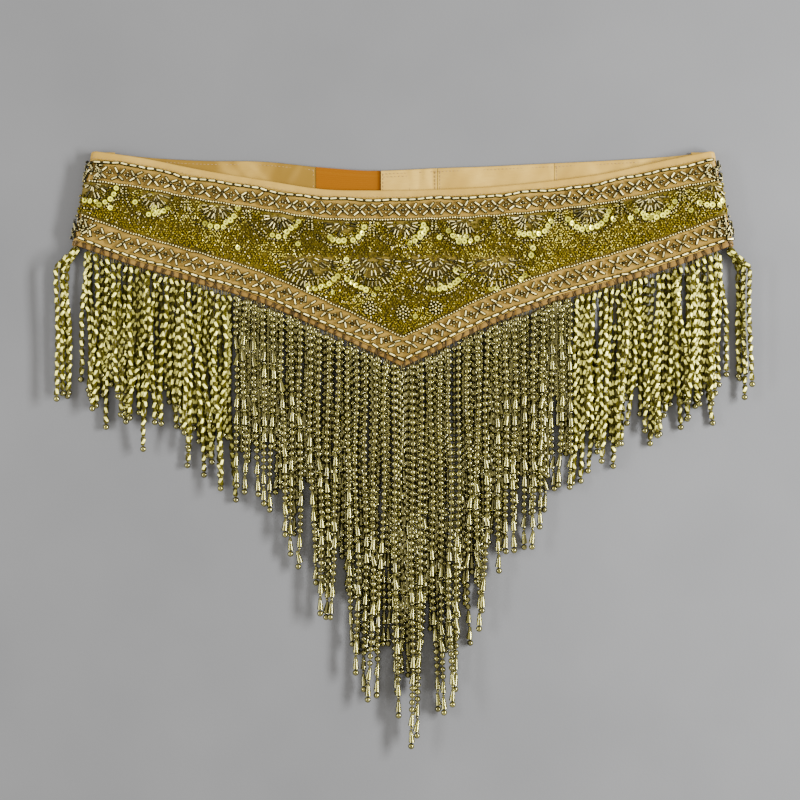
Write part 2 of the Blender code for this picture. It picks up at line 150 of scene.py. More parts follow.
class Places(NamedTuple):
    """Points with the directions there: along a thread or bead, and out of the cloth."""

    at: Array
    along: Array
    out: Array

    def turned(self, angle: Numbers) -> "Places":
        """The same places with along turned on the cloth, towards the waist where the angle is positive."""
        angle = np.broadcast_to(angle, self.at.shape[:1])[:, None]
        up = np.cross(self.out, self.along)
        return Places(self.at, self.along * np.cos(angle) + up * np.sin(angle), self.out)

    def tilted(self, angle: Array) -> "Places":
        """The same places rolled round along, so that they catch the light in different ways."""
        up = np.cross(self.out, self.along)
        return Places(self.at, self.along, self.out * np.cos(angle)[:, None] + up * np.sin(angle)[:, None])

    def kept(self, keep: Array) -> "Places":
        """Only the places where keep is true."""
        return Places(self.at[keep], self.along[keep], self.out[keep])


@dataclass(frozen=True)
class BeltForm:
    """The laid belt's form, the same as the frame's solids have."""

    waist_width: float = 399.0
    hem_width: float = 424.0
    wall: float = 2.0
    band_wall: float = 1.6
    band_depth: float = 52.0
    gap: float = 0.3
    fold_height: float = 7.0
    fold_rise: float = 55.0
    settle: float = 30.0
    clear: float = 9.0
    wrap: float = 11.0
    binding: float = 4.8
    hem_strip: float = 3.2
    bead_gap: float = 0.8
    bugle_line: float = 2.0
    seed_line: float = 1.8
    waist_border: float = 10.8
    hem_border: float = 12.4
    top: float = 191.9
    middle: float = -1.0
    fan_pitch: float = 39.6
    fan_radius: float = 18.0
    fan_raise: float = 0.7
    fans_each_side: int = 5
    rose_pitch: float = 40.0
    rose_radius: float = 26.0
    rose_drop: float = 66.0
    rose_count: int = 4
    slope_step: float = 0.25
    find_rounds: int = 5

    @property
    def fold_radius(self) -> float:
        """Radius of the side folds, to the middle of the wall."""
        return (self.fold_height - self.wall) / 2

    @property
    def fold_length(self) -> float:
        """Cloth that goes round one fold."""
        return math.pi * self.fold_radius

    @property
    def hem_fold(self) -> float:
        """Where a fold starts, along the hem."""
        return self.hem_width / 2 - self.fold_radius - self.wall / 2

    @property
    def side_seam(self) -> float:
        """Where the front ends, along the cloth of the hem."""
        return self.hem_fold + self.fold_length + self.wrap

    @property
    def waist_beads(self) -> float:
        """Distance of the waist border's outer side from the waist edge."""
        return self.binding + self.gap

    @property
    def seed_top(self) -> float:
        """Distance of the waist border's row of seed beads from the waist edge."""
        return self.waist_beads + self.bugle_line + self.waist_border

    @property
    def hem_beads(self) -> float:
        """Distance of the hem border's outer side from the hem."""
        return self.hem_strip + self.bead_gap

    @property
    def seed_end(self) -> float:
        """Distance of the hem border's row of seed beads from the hem."""
        return self.hem_beads + self.bugle_line + self.hem_border

    @cached_property
    def curves(self) -> dict[Edge, list[tuple[Array, Array]]]:
        """Each edge's places and values. The hem has a run for each side, which keeps its corner.

        Returns:
            (places, values) of each run, for each edge.
        """
        runs = {edge: [STATIONS, STATIONS] for edge in Edge}
        runs[Edge.HEM] = [[s for s in STATIONS if s.across <= 0], [s for s in STATIONS if s.across >= 0]]
        return {
            edge: [
                (np.array([s.across for s in run]), np.array([getattr(s, edge.value) for s in run]))
                for run in pair
            ]
            for edge, pair in runs.items()
        }

    def drop_of(self, edge: Edge, across: Array) -> Array:
        """Distance of an edge below the top corner."""
        left, right = (smooth_through(across, *run) for run in self.curves[edge])
        return np.where(across <= 0, left, right)

    def across_of(self, reach: Array) -> Array:
        """-1 to 1 across the front's top side, at a distance along the cloth of the hem."""
        return np.clip(reach / self.hem_fold, -1.0, 1.0)

    def depth_at(self, reach: Array) -> Array:
        """The front's depth from its waist edge to its hem."""
        across = self.across_of(reach)
        return self.drop_of(Edge.HEM, across) - self.drop_of(Edge.WAIST, across)

    def from_edges(self, x: Array, drop: Array) -> tuple[Array, Array, Array]:
        """Distances of points seen from above below the waist edge and above the hem, and their reaches."""
        reach, share = self.reach_at(x, drop)
        depth = self.depth_at(reach)
        return share * depth, (1 - share) * depth, reach

    def share_down(self, edge: Edge, distance: Numbers, reach: Array) -> Array:
        """Where a line crosses the front, from 0 at its waist edge to 1 at its hem."""
        share = distance / self.depth_at(reach)
        return share if edge is Edge.WAIST else 1 - share

    def waist_across(self, x: Array) -> Array:
        """-1 to 1 across the belt at its waist edge."""
        return np.clip(x / (self.waist_width / 2), -1, 1)

    def band_top(self, x: Array) -> Array:
        """Distance of the back band's waist edge below the top corner."""
        return self.drop_of(Edge.BACK, self.waist_across(x))

    def fold_at(self, share: Array) -> Array:
        """X of the folds from the middle line."""
        half = (self.waist_width + (self.hem_width - self.waist_width) * share) / 2
        return half - self.fold_radius - self.wall / 2

    def world(self, x: Array, drop: Array, z: Array) -> Array:
        """The belt's own measures as points in the frame's axes."""
        return np.stack(np.broadcast_arrays(x + self.middle, self.top - drop, z), axis=-1).astype(float)

    def on_front(self, reach: Array, share: Array) -> tuple[Array, Array]:
        """Points on the middle of the front's wall.

        Args:
            reach: from the middle line, along the cloth of the hem.
            share: 0 at the waist edge, 1 at the hem.

        Returns:
            The points and the outward directions there.
        """
        side = np.where(reach < 0, -1.0, 1.0)
        across = self.across_of(reach)
        around = np.maximum(np.abs(reach) - self.hem_fold, 0.0)
        fold_at = self.fold_at(share)
        waist = self.drop_of(Edge.WAIST, across)
        drop = waist + (self.drop_of(Edge.HEM, across) - waist) * share
        past_band = drop - self.drop_of(Edge.BACK, across) - self.band_depth - self.clear
        inward = (1 - np.abs(across)) * fold_at
        level = self.wall / 2 + (self.band_wall + self.gap) * (1 - ease(past_band / self.settle))
        fold_top = self.wall / 2 + 2 * self.fold_radius
        top_z = level + (fold_top - level) * ease(1 - inward / self.fold_rise)
        turn = np.minimum(around / self.fold_radius, math.pi)
        under = np.maximum(around - self.fold_length, 0.0)
        x = side * (np.abs(across) * fold_at + self.fold_radius * np.sin(turn) - under)
        z = np.where(around <= 0, top_z, self.wall / 2 + self.fold_radius * (1 + np.cos(turn)))
        out = np.stack(np.broadcast_arrays(side * np.sin(turn), 0 * turn, np.cos(turn)), axis=-1)
        return self.world(x, drop, z), out

    def grid_between(self, reach: Array, top: float, bottom: float, rows: int) -> tuple[Array, Array]:
        """Reach and share of a grid from this far below the waist edge to this far above the hem.

        Args:
            reach: along the cloth of the hem.
            top: distance below the waist edge.
            bottom: distance above the hem.
            rows: how many rows.

        Returns:
            Reaches and shares, row by row.
        """
        first = self.share_down(Edge.WAIST, top, reach)
        last = self.share_down(Edge.HEM, bottom, reach)
        share = first + (last - first) * np.linspace(0, 1, rows)[:, None]
        return np.broadcast_to(reach, share.shape), share

    def grid_along(self, edge: Edge, reach: Array, distance: Array) -> tuple[Array, ...]:
        """Reach, share and distance of a grid with its rows at these distances from an edge."""
        share = np.stack([self.share_down(edge, each, reach) for each in distance])
        return np.broadcast_to(reach, share.shape), share, np.broadcast_to(distance[:, None], share.shape)

    def laid_along(self, edge: Edge, reach: Array, distance: Numbers, height: Numbers) -> Places:
        """Places on the front's outside, along a line at a distance from an edge.

        Args:
            edge: the edge that the distance is from.
            reach: along the cloth of the hem.
            distance: distances from the edge.
            height: how far out of the cloth's outside.

        Returns:
            The places, with along running across the belt.
        """
        at, out = self.on_front(reach, self.share_down(edge, distance, reach))
        ahead, behind = (
            self.on_front(reach + step, self.share_down(edge, distance, reach + step))[0]
            for step in (self.slope_step, -self.slope_step)
        )
        return self.raised(at, unit(ahead - behind), out, height)

    def raised(self, at: Array, along: Array, out: Array, height: Numbers) -> Places:
        """Places at a height out of the cloth's outside, with out turned square to along."""
        out = unit(out - along * (out * along).sum(-1, keepdims=True))
        lift = self.wall / 2 + np.broadcast_to(height, at.shape[:1])
        return Places(at + out * lift[:, None], along, out)

    def reach_at(self, x: Array, drop: Array) -> tuple[Array, Array]:
        """Where a point seen from above lies on the cloth, as a reach and a share down it.

        Args:
            x, drop: from the middle line, and below the top corner.

        Returns:
            Reaches and shares.
        """
        share = np.full(np.shape(x), 0.5)
        for _ in range(self.find_rounds):
            across = np.clip(x / self.fold_at(share), -1.0, 1.0)
            waist = self.drop_of(Edge.WAIST, across)
            share = np.clip((drop - waist) / (self.drop_of(Edge.HEM, across) - waist), 0.0, 1.0)
        past = (np.abs(x) - self.fold_at(share)) / (self.fold_radius + self.wall / 2)
        around = np.arcsin(np.clip(past, 0.0, 1.0)) * self.fold_radius
        return across * self.hem_fold + np.sign(x) * around, share

    def settled(self, x: Array, drop: Array, height: Numbers) -> Places:
        """Places on the front's outside under points seen from above, with along across the belt.

        Args:
            x, drop: from the middle line, and below the top corner.
            height: how far out of the cloth's outside.

        Returns:
            The places.
        """
        reach, share = self.reach_at(x, drop)
        at, out = self.on_front(reach, share)
        step = self.slope_step
        along = unit(self.on_front(reach + step, share)[0] - self.on_front(reach - step, share)[0])
        along = unit(along - np.array([0.0, 1.0, 0.0]) * along[:, 1:2])
        return self.raised(at, along, out, height)

    @cached_property
    def fan_centres(self) -> Array:
        """(x, drop, radius) of the half-flower fans that hang from the waist border."""
        x = self.fan_pitch * np.arange(-self.fans_each_side, self.fans_each_side + 1)
        drop = self.drop_of(Edge.WAIST, self.waist_across(x)) + self.seed_top
        return np.stack([x, drop, np.full(len(x), self.fan_radius)], axis=1)

    @cached_property
    def rose_centres(self) -> Array:
        """(x, drop, radius) of the lower, larger fans."""
        x = self.rose_pitch * (np.arange(self.rose_count) - (self.rose_count - 1) / 2)
        return np.stack([x, np.full(len(x), self.rose_drop), np.full(len(x), self.rose_radius)], axis=1)

    def fan_rise(self, x: Array, drop: Array) -> Array:
        """How far the bead field stands up at the fans.

        Args:
            x, drop: from the middle line, and below the top corner.

        Returns:
            Heights over the flat ground.
        """
        tallest = np.zeros(np.shape(x))
        for centre_x, centre_drop, radius in np.concatenate([self.fan_centres, self.rose_centres]):
            away = np.hypot(x - centre_x, drop - centre_drop)
            tallest = np.maximum(tallest, ease(1 - away / radius))
        return self.fan_raise * tallest


# ---- meshes


@dataclass(frozen=True)
class BeadShape:
    """One bead as a small mesh. X runs along its hole and Z away from the cloth."""

    points: Array
    faces: list[tuple[int, ...]]
    # Painted light for each point: 1 where it is painted lit, lower where it is painted shade.
    bright: Numbers = 1.0

    @cached_property
    def loops(self) -> Array:
        """The corners of all faces in one row."""
        return np.array([corner for face in self.faces for corner in face], np.int64)

    @cached_property
    def totals(self) -> Array:
        """How many corners each face has."""
        return np.array([len(face) for face in self.faces], np.int64)


def even(sides: int, roll: float = 0.0) -> Array:
    """Directions spaced evenly round a bead, from its side."""
    return TAU * np.arange(sides) / sides + roll


def from_top(*degrees: float) -> Array:
    """Directions round a bead, from its top."""
    return np.radians(90.0 + np.array(degrees))


def tube_faces(rings: int, sides: int) -> list[tuple[int, ...]]:
    """Faces of a closed tube whose points come ring by ring.

    Args:
        rings: how many rings there are.
        sides: points in each ring.

    Returns:
        The faces, its ends first and last.
    """
    last = (rings - 1) * sides
    faces = [tuple(reversed(range(sides)))]
    for k in range(0, last, sides):
        for i in range(sides):
            j = (i + 1) % sides
            faces.append((k + i, k + j, k + sides + j, k + sides + i))
    return [*faces, tuple(range(last, last + sides))]


def turned_bead(profile: Profile, angles: Array, twist: float = 0.0) -> BeadShape:
    """A bead turned round its hole.

    Args:
        profile: (place along the hole, radius) from end to end.
        angles: where its points lie round it.
        twist: turn of the section from end to end, in radians, none in the middle.

    Returns:
        The bead's shape.
    """
    sides = len(angles)
    middle = (profile[0][0] + profile[-1][0]) / 2
    length = profile[-1][0] - profile[0][0]
    rings = []
    for x, radius in profile:
        turned = angles + twist * (x - middle) / length
        rings.append(np.stack([np.full(sides, x), radius * np.cos(turned), radius * np.sin(turned)], 1))
    return BeadShape(np.concatenate(rings), tube_faces(len(profile), sides))


# The painted light where a bead's painted shade is deepest, and over how many degrees and millimetres its
# painted highlight fades into it.
PAINTED_SHADE_DEPTH = -1.5
SIDE_FADE = 5.0
END_FADE = 0.2


def with_painted_light(shape: BeadShape, lit_end: float, lit_side: float = 21.0) -> BeadShape:
    """A bead with a painted highlight along its top that fades into painted shade towards its edges and ends.

    Args:
        shape: the bead.
        lit_end: how far from its middle the painted highlight starts to fade.
        lit_side: how far from its top it does, in degrees.

    Returns:
        The bead with its painted light for each point, below 0 where the painted shade deepens quickly.
    """
    along, across, out = shape.points.T
    aside = np.degrees(np.abs(np.arctan2(across, out)))
    # Painted highlight on the top and middle, painted shade towards the sides and ends.
    lit_top = 1 - ease((aside - lit_side) / SIDE_FADE)
    inner = 1 - ease((np.abs(along) - lit_end) / END_FADE)
    return BeadShape(shape.points, shape.faces, (1 - PAINTED_SHADE_DEPTH) * lit_top * inner + PAINTED_SHADE_DEPTH)


def barrel(end: float, end_radius: float, shoulder: float, radius: float) -> Profile:
    """Profile of a straight bead with tapered ends: how far its ends and shoulders are from its middle."""
    return [(-end, end_radius), (-shoulder, radius), (shoulder, radius), (end, end_radius)]


def faceted_tube(twist: float) -> BeadShape:
    """A four-sided twisted tube bead, with a painted highlight on the face that lies uppermost and painted
    shade on its other faces and ends.

    Args:
        twist: turn from end to end, in radians.

    Returns:
        The bead.
    """
    tube = turned_bead(barrel(2.85, 1.15, 1.25, 1.7), from_top(-30, 30, 37, 130, 147, 213, 230, 323), twist)
    # Painted highlight on the uppermost face, painted shade on the others, deepest at the ends.
    uppermost = np.array([1.0, 1.0, 0.0, 0.0, 0.0, 0.0, 0.0, 0.0])
    painted_shade_ends = np.array([-2.5, 1.0, 1.0, -2.5])
    return BeadShape(tube.points, tube.faces, np.minimum.outer(painted_shade_ends, uppermost).ravel())


def round_profile(length: float, radius: float, hole: float, rings: int) -> Profile:
    """Profile of a round bead, cut off at its hole.

    Args:
        length: from hole to hole.
        radius: at its middle.
        hole: radius of the hole.
        rings: points on the profile.

    Returns:
        (place along the hole, radius) from end to end.
    """
    start = math.asin(min(hole / radius, 1.0))
    angles = np.linspace(start, math.pi - start, rings)
    return [(-length / 2 * math.cos(a) / math.cos(start), radius * math.sin(a)) for a in angles]


def cup_sequin(radius: float, hole: float, cup: float, thick: float = 0.12, sides: int = 8) -> BeadShape:
    """A thin dished sequin, its rim raised by cup, with painted shade at the hole, the rim and underneath.

    Args:
        radius: of its rim.
        hole: radius of the hole.
        cup: how far the rim stands up.
        thick: of the foil.
        sides: points round it.

    Returns:
        The sequin.
    """
    # Each ring: radius, height and painted light; the hole, the rim and the underside get painted shade.
    rings = (
        (hole, 0.0, 0.0),
        (radius * 0.46, cup * 0.15, 1.0),
        (radius * 0.84, cup * 0.7, 1.0),
        (radius, cup, 0.1),
        (radius, cup - thick, 0.0),
        (hole, -thick, 0.0),
    )
    angles = even(sides)
    points = [np.stack([r * np.cos(angles), r * np.sin(angles), np.full(sides, z)], 1) for r, z, _ in rings]
    faces = []
    for k in range(len(rings)):
        m = (k + 1) % len(rings)
        for i in range(sides):
            j = (i + 1) % sides
            faces.append((k * sides + i, m * sides + i, m * sides + j, k * sides + j))
    return BeadShape(np.concatenate(points), faces, np.repeat([bright for _, _, bright in rings], sides))


class Dressing(NamedTuple):
    """What a piece is covered with: its material and the material slot that it goes by."""

    material: bpy.types.Material
    slot: str


def make_piece(
    name: str,
    points: Array,
    loops: Array,
    totals: Array,
    dressing: Dressing,
    attributes: dict[str, Array] | None = None,
    sharp: float = 60.0,
) -> Piece:
    """Makes one piece that rides on the belt.

    Args:
        name: the piece's name.
        points: its points in millimetres.
        loops: the corners of its faces in one row.
        totals: how many corners each face has.
        dressing: its material and slot.
        attributes: numbers for each point that the material reads.
        sharp: edges over this angle, in degrees, stay sharp.

    Returns:
        The object.
    """
    mesh = bpy.data.meshes.new(name)
    mesh.vertices.add(len(points))
    mesh.vertices.foreach_set("co", (points * MM).astype(np.float32).ravel())
    mesh.loops.add(len(loops))
    mesh.loops.foreach_set("vertex_index", loops.astype(np.int32))
    mesh.polygons.add(len(totals))
    starts = np.concatenate([[0], np.cumsum(totals)[:-1]])
    mesh.polygons.foreach_set("loop_start", starts.astype(np.int32))
    mesh.update(calc_edges=True)
    for key, values in (attributes or {}).items():
        mesh.attributes.new(key, "FLOAT", "POINT").data.foreach_set("value", values.astype(np.float32))
    mesh.materials.append(dressing.material)
    mesh.shade_smooth()
    mesh.set_sharp_from_angle(angle=math.radians(sharp))
    piece = bpy.data.objects.new(name, mesh)
    bpy.context.scene.collection.objects.link(piece)
    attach(piece, BODY)
    return piece


@dataclass
class Beadwork:
    """Beads that are sewn or strung into one piece."""

    points: list[Array] = field(default_factory=list)
    loops: list[Array] = field(default_factory=list)
    totals: list[Array] = field(default_factory=list)
    tones: list[Array] = field(default_factory=list)
    used: int = 0

    def add(self, shape: BeadShape, places: Places, tone: Array, size: Numbers = 1.0) -> None:
        """Adds a bead at each place.

        Args:
            shape: the bead.
            places: where each one is, its hole running along.
            tone: 0 to 1 for each bead, from its darkest finish to its lightest.
            size: scale of each bead.
        """
        count = len(places.at)
        if not count:
            return
        size = np.broadcast_to(size, (count,))[:, None, None]
        axes = np.stack([places.along, np.cross(places.out, places.along), places.out], axis=1)
        made = places.at[:, None, :] + np.einsum("vk,nkc->nvc", shape.points, axes) * size
        each = len(shape.points)
        self.points.append(made.reshape(-1, 3))
        offsets = self.used + each * np.arange(count)
        self.loops.append((shape.loops[None, :] + offsets[:, None]).ravel())
        self.totals.append(np.tile(shape.totals, count))
        # Each bead's tone is scaled by its shape's painted highlight and shade.
        bright = np.broadcast_to(shape.bright, (each,))
        self.tones.append((np.broadcast_to(tone, (count,))[:, None] * bright[None, :]).ravel())
        self.used += each * count

    def make(self, name: str, dressing: Dressing, sharp: float = 60.0) -> Piece:
        """Joins the beads into one piece."""
        joined = [np.concatenate(rows) for rows in (self.points, self.loops, self.totals)]
        return make_piece(name, *joined, dressing, {"tone": np.concatenate(self.tones)}, sharp)


def cloth_shell(
    name: str,
    middle: Array,
    out: Array,
    inner: Numbers,
    outer: Numbers,
    dressing: Dressing,
    attributes: dict[str, Array] | None = None,
) -> Piece:
    """A closed sheet of cloth from a grid of points.

    Args:
        name: the piece's name.
        middle: rows of points, (rows, columns, 3).
        out: the direction of the cloth's outside at each point.
        inner: how far out its inner side is.
        outer: how far out its outer side is.
        dressing: its material and slot.
        attributes: numbers for each grid point that the material reads.

    Returns:
        The piece.
    """
    rows, columns = middle.shape[:2]
    count = rows * columns
    inner = np.broadcast_to(inner, (rows, columns))[..., None]
    outer = np.broadcast_to(outer, (rows, columns))[..., None]
    points = np.concatenate([(middle + out * side).reshape(-1, 3) for side in (outer, inner)])
    grid = np.arange(count).reshape(rows, columns)
    a, b, c, d = grid[:-1, :-1], grid[1:, :-1], grid[1:, 1:], grid[:-1, 1:]
    top = np.stack([a, b, c, d], axis=-1).reshape(-1, 4)
    under = np.stack([d, c, b, a], axis=-1).reshape(-1, 4) + count
    rim = np.concatenate([grid[0, ::-1], grid[1:, 0], grid[-1, 1:], grid[-2:0:-1, -1]])
    following = np.roll(rim, -1)
    sides = np.stack([rim, rim + count, following + count, following], axis=1)
    faces = np.concatenate([top, under, sides])
    doubled = {key: np.tile(values.reshape(-1), 2) for key, values in (attributes or {}).items()}
    return make_piece(name, points, faces.ravel(), np.full(len(faces), 4), dressing, doubled, 50.0)


# ---- finishes


NOISE_MIDDLE = (0.3, 0.7)


class NodeBench:
    """Puts one material's nodes together."""

    def __init__(self, name: str) -> None:
        """Starts a material with a plain shader.

        Args:
            name: the material's name.
        """
        self.material = bpy.data.materials.new(name)
        self.material.use_nodes = True
        self.tree = self.material.node_tree
        self.shader = self.tree.nodes["Principled BSDF"]
        self.place = self.tree.nodes.new("ShaderNodeTexCoord").outputs["Object"]

    def add(self, kind: str, inputs: dict, **settings: object) -> bpy.types.Node:
        """Adds a node, with each input a number, a colour or another node's socket.

        Args:
            kind: the node's type.
            inputs: what goes into each socket.
            **settings: the node's own settings.

        Returns:
            The node.
        """
        node = self.tree.nodes.new(kind)
        for key, value in settings.items():
            setattr(node, key, value)
        for key, value in inputs.items():
            self.feed(node.inputs[key], value)
        return node

    def feed(self, socket: Socket, value: object) -> None:
        """Sets or links one input.

        Args:
            socket: the input.
            value: a number, a colour or another node's socket.
        """
        if isinstance(value, Socket):
            self.tree.links.new(value, socket)
        else:
            socket.default_value = value

    def stretched(self, scale: tuple[float, float, float]) -> Socket:
        """The object's coordinates at another scale for each axis."""
        return self.add("ShaderNodeMapping", {"Vector": self.place, "Scale": scale}).outputs["Vector"]

    def noise(self, scale: float, detail: float = 2.0, vector: Socket | None = None) -> Socket:
        """Noise from 0 to 1."""
        inputs = {"Vector": vector or self.place, "Scale": scale, "Detail": detail}
        return self.add("ShaderNodeTexNoise", inputs).outputs["Fac"]

    def spread(self, value: Socket, low: float, high: float) -> Socket:
        """The middle of a noise, where most of it lies, spread from low to high."""
        start, end = NOISE_MIDDLE
        inputs = {"Value": value, "From Min": start, "From Max": end, "To Min": low, "To Max": high}
        return self.add("ShaderNodeMapRange", inputs).outputs["Result"]

    def between(self, value: Socket, start: float, end: float) -> Socket:
        """How far a value has come from the start to the end, 0 to 1."""
        mapped = self.add("ShaderNodeMapRange", {"Value": value, "From Min": start, "From Max": end})
        return mapped.outputs["Result"]

    def blend(self, share: object, first: object, second: object) -> Socket:
        """One colour that goes over into another.

        Args:
            share: 0 for the first, 1 for the second.
            first: a colour.
            second: another one.

        Returns:
            The colour.
        """
        node = self.tree.nodes.new("ShaderNodeMix")
        node.data_type = "RGBA"
        for socket, value in zip((node.inputs[0], node.inputs[6], node.inputs[7]), (share, first, second)):
            self.feed(socket, value if not isinstance(value, tuple) else (*value, 1.0))
        return node.outputs[2]

    def read(self, attribute: str) -> Socket:
        """The numbers that a mesh carries under this name."""
        return self.add("ShaderNodeAttribute", {}, attribute_name=attribute).outputs["Fac"]

    def bump(self, height: Socket, strength: float, distance: float) -> None:
        """Raises the surface by a height, with the distance in millimetres."""
        inputs = {"Height": height, "Strength": strength, "Distance": distance * MM}
        self.feed(self.shader.inputs["Normal"], self.add("ShaderNodeBump", inputs).outputs["Normal"])

    def shade(self, **values: object) -> bpy.types.Material:
        """Sets the shader's inputs, named with _ for a space, and gives the material.

        Args:
            **values: a value or another node's socket for each.

        Returns:
            The finished material.
        """
        for key, value in values.items():
            value = (*value, 1.0) if isinstance(value, tuple) else value
            self.feed(self.shader.inputs[key.replace("_", " ").title().replace("Ior", "IOR")], value)
        return self.material


@dataclass(frozen=True)
class SatinFinish:
    """Peach-gold satin: long glossy floats one way, soft uneven sheen, and painted shade where a piece
    carries it.
    """

    name: str
    light: Colour
    shade: Colour
    painted_shade: Colour
    roughness: float = 0.36
    dulling: float = 0.86

    def material(self) -> bpy.types.Material:
        """The satin's material.

        Returns:
            The material.
        """
        bench = NodeBench(self.name)
        floats = bench.noise(900.0, 2.0, bench.stretched((0.25, 2.4, 1.0)))
        clouds = bench.noise(38.0, 3.0)
        grain = bench.noise(2600.0, 1.0)
        tone = bench.blend(bench.spread(clouds, 0.0, 1.0), self.shade, self.light)
        dull = tuple(self.dulling * part for part in self.shade)
        colour = bench.blend(bench.spread(floats, 0.0, 0.45), tone, dull)
        # Painted shade, as much as each point of the piece is given.
        colour = bench.blend(bench.read("painted_shade"), colour, self.painted_shade)
        bench.bump(bench.blend(0.35, floats, grain), 0.35, 0.12)
        rough = bench.spread(floats, self.roughness - 0.06, self.roughness + 0.1)
        return bench.shade(
            base_color=colour, roughness=rough, specular_ior_level=0.1, sheen_weight=0.02, sheen_roughness=0.4
        )


@dataclass(frozen=True)
class ElasticFinish:
    """Ribbed elastic: matt yarn, each rib paler than the painted shade in its grooves, with a painted shadow
    where it enters the tab.
    """

    name: str
    rib: Colour
    groove: Colour
    dark: Colour

    def material(self) -> bpy.types.Material:
        """The elastic's material.

        Returns:
            The material.
        """
        bench = NodeBench(self.name)
        yarn = bench.noise(1500.0, 2.0, bench.stretched((2.0, 0.6, 1.0)))
        rib = bench.read("rib")
        # Painted shade: the grooves between the ribs are darker.
        colour = bench.blend(rib, self.groove, self.rib)
        colour = bench.blend(bench.spread(yarn, 0.0, 0.35), colour, self.groove)
        # Painted shadow where the elastic goes under the tab.
        colour = bench.blend(bench.read("deep"), colour, self.dark)
        bench.bump(yarn, 0.5, 0.15)
        rough = bench.spread(yarn, 0.6, 0.85)
        return bench.shade(base_color=colour, roughness=rough, specular_ior_level=0.05)


@dataclass(frozen=True)
class BeadFinish:
    """Metallised beads: each one has its own tone, scaled by painted highlight and shade, with fine wear in
    the plating.
    """

    name: str
    dark: Colour
    light: Colour
    roughness: float = 0.3
    metallic: float = 0.12
    coat: float = 0.1
    coat_ior: float = 1.5
    glassy: float = 0.1
    middle: Colour | None = None
    middle_at: float = 0.35
    light_at: float = 0.9

    def material(self) -> bpy.types.Material:
        """The beads' material.

        Returns:
            The material.
        """
        bench = NodeBench(self.name)
        wear = bench.noise(700.0, 3.0)
        fine = bench.noise(4200.0, 1.0)
        # The tone carries each bead's own tone times its painted highlight and shade.
        own = bench.read("tone")
        tone = bench.blend(own, self.dark, self.light)
        if self.middle:
            tone = bench.blend(bench.between(own, 0.0, self.middle_at), self.dark, self.middle)
            tone = bench.blend(bench.between(own, self.middle_at, self.light_at), tone, self.light)
        colour = bench.blend(bench.spread(wear, 0.0, 0.3), tone, self.dark)
        bench.bump(fine, 0.12, 0.05)
        rough = bench.spread(wear, self.roughness - 0.05, self.roughness + 0.08)
        return bench.shade(
            base_color=colour,
            roughness=rough,
            metallic=self.metallic,
            specular_ior_level=self.glassy,
            coat_weight=self.coat,
            coat_roughness=0.06,
            coat_ior=self.coat_ior,
        )


@dataclass(frozen=True)
class GroundFinish:
    """The ground under the beadwork: amber glitter cloth that gives way to satin at the fans."""

    name: str
    amber: Colour
    olive: Colour
    satin: Colour

    def material(self) -> bpy.types.Material:
        """The ground's material.

        Returns:
            The material.
        """
        bench = NodeBench(self.name)
        cells = bench.add("ShaderNodeTexVoronoi", {"Vector": bench.place, "Scale": 900.0})
        patches = bench.noise(55.0, 2.0)
        glitter = bench.blend(bench.spread(patches, 0.0, 1.0), self.olive, self.amber)
        glitter = bench.blend(bench.spread(cells.outputs["Color"], 0.0, 0.5), glitter, self.olive)
        colour = bench.blend(bench.read("satin"), glitter, self.satin)
        bench.bump(cells.outputs["Distance"], 0.6, 0.4)
        return bench.shade(base_color=colour, roughness=0.4, metallic=0.1, specular_ior_level=0.1)


@dataclass(frozen=True)
class ThreadFinish:
    """Twisted sewing thread."""

    name: str
    colour: Colour
    shade: Colour

    def material(self) -> bpy.types.Material:
        """The thread's material.

        Returns:
            The material.
        """
        bench = NodeBench(self.name)
        ply = bench.noise(1800.0, 2.0, bench.stretched((1.0, 1.0, 2.5)))
        bench.bump(ply, 0.5, 0.1)
        colour = bench.blend(bench.spread(ply, 0.0, 1.0), self.shade, self.colour)
        return bench.shade(base_color=colour, roughness=0.7, specular_ior_level=0.15)


@dataclass(frozen=True)
class FloorFinish:
    """A plain pale surface."""

    name: str
    pale: Colour
    paler: Colour

    def material(self) -> bpy.types.Material:
        """The floor's material.

        Returns:
            The material.
        """
        bench = NodeBench(self.name)
        colour = bench.blend(bench.spread(bench.noise(9.0, 3.0), 0.0, 1.0), self.pale, self.paler)
        bench.bump(bench.noise(600.0, 2.0), 0.15, 0.3)
        return bench.shade(base_color=colour, roughness=0.85)


Finish = SatinFinish | ElasticFinish | BeadFinish | GroundFinish | ThreadFinish


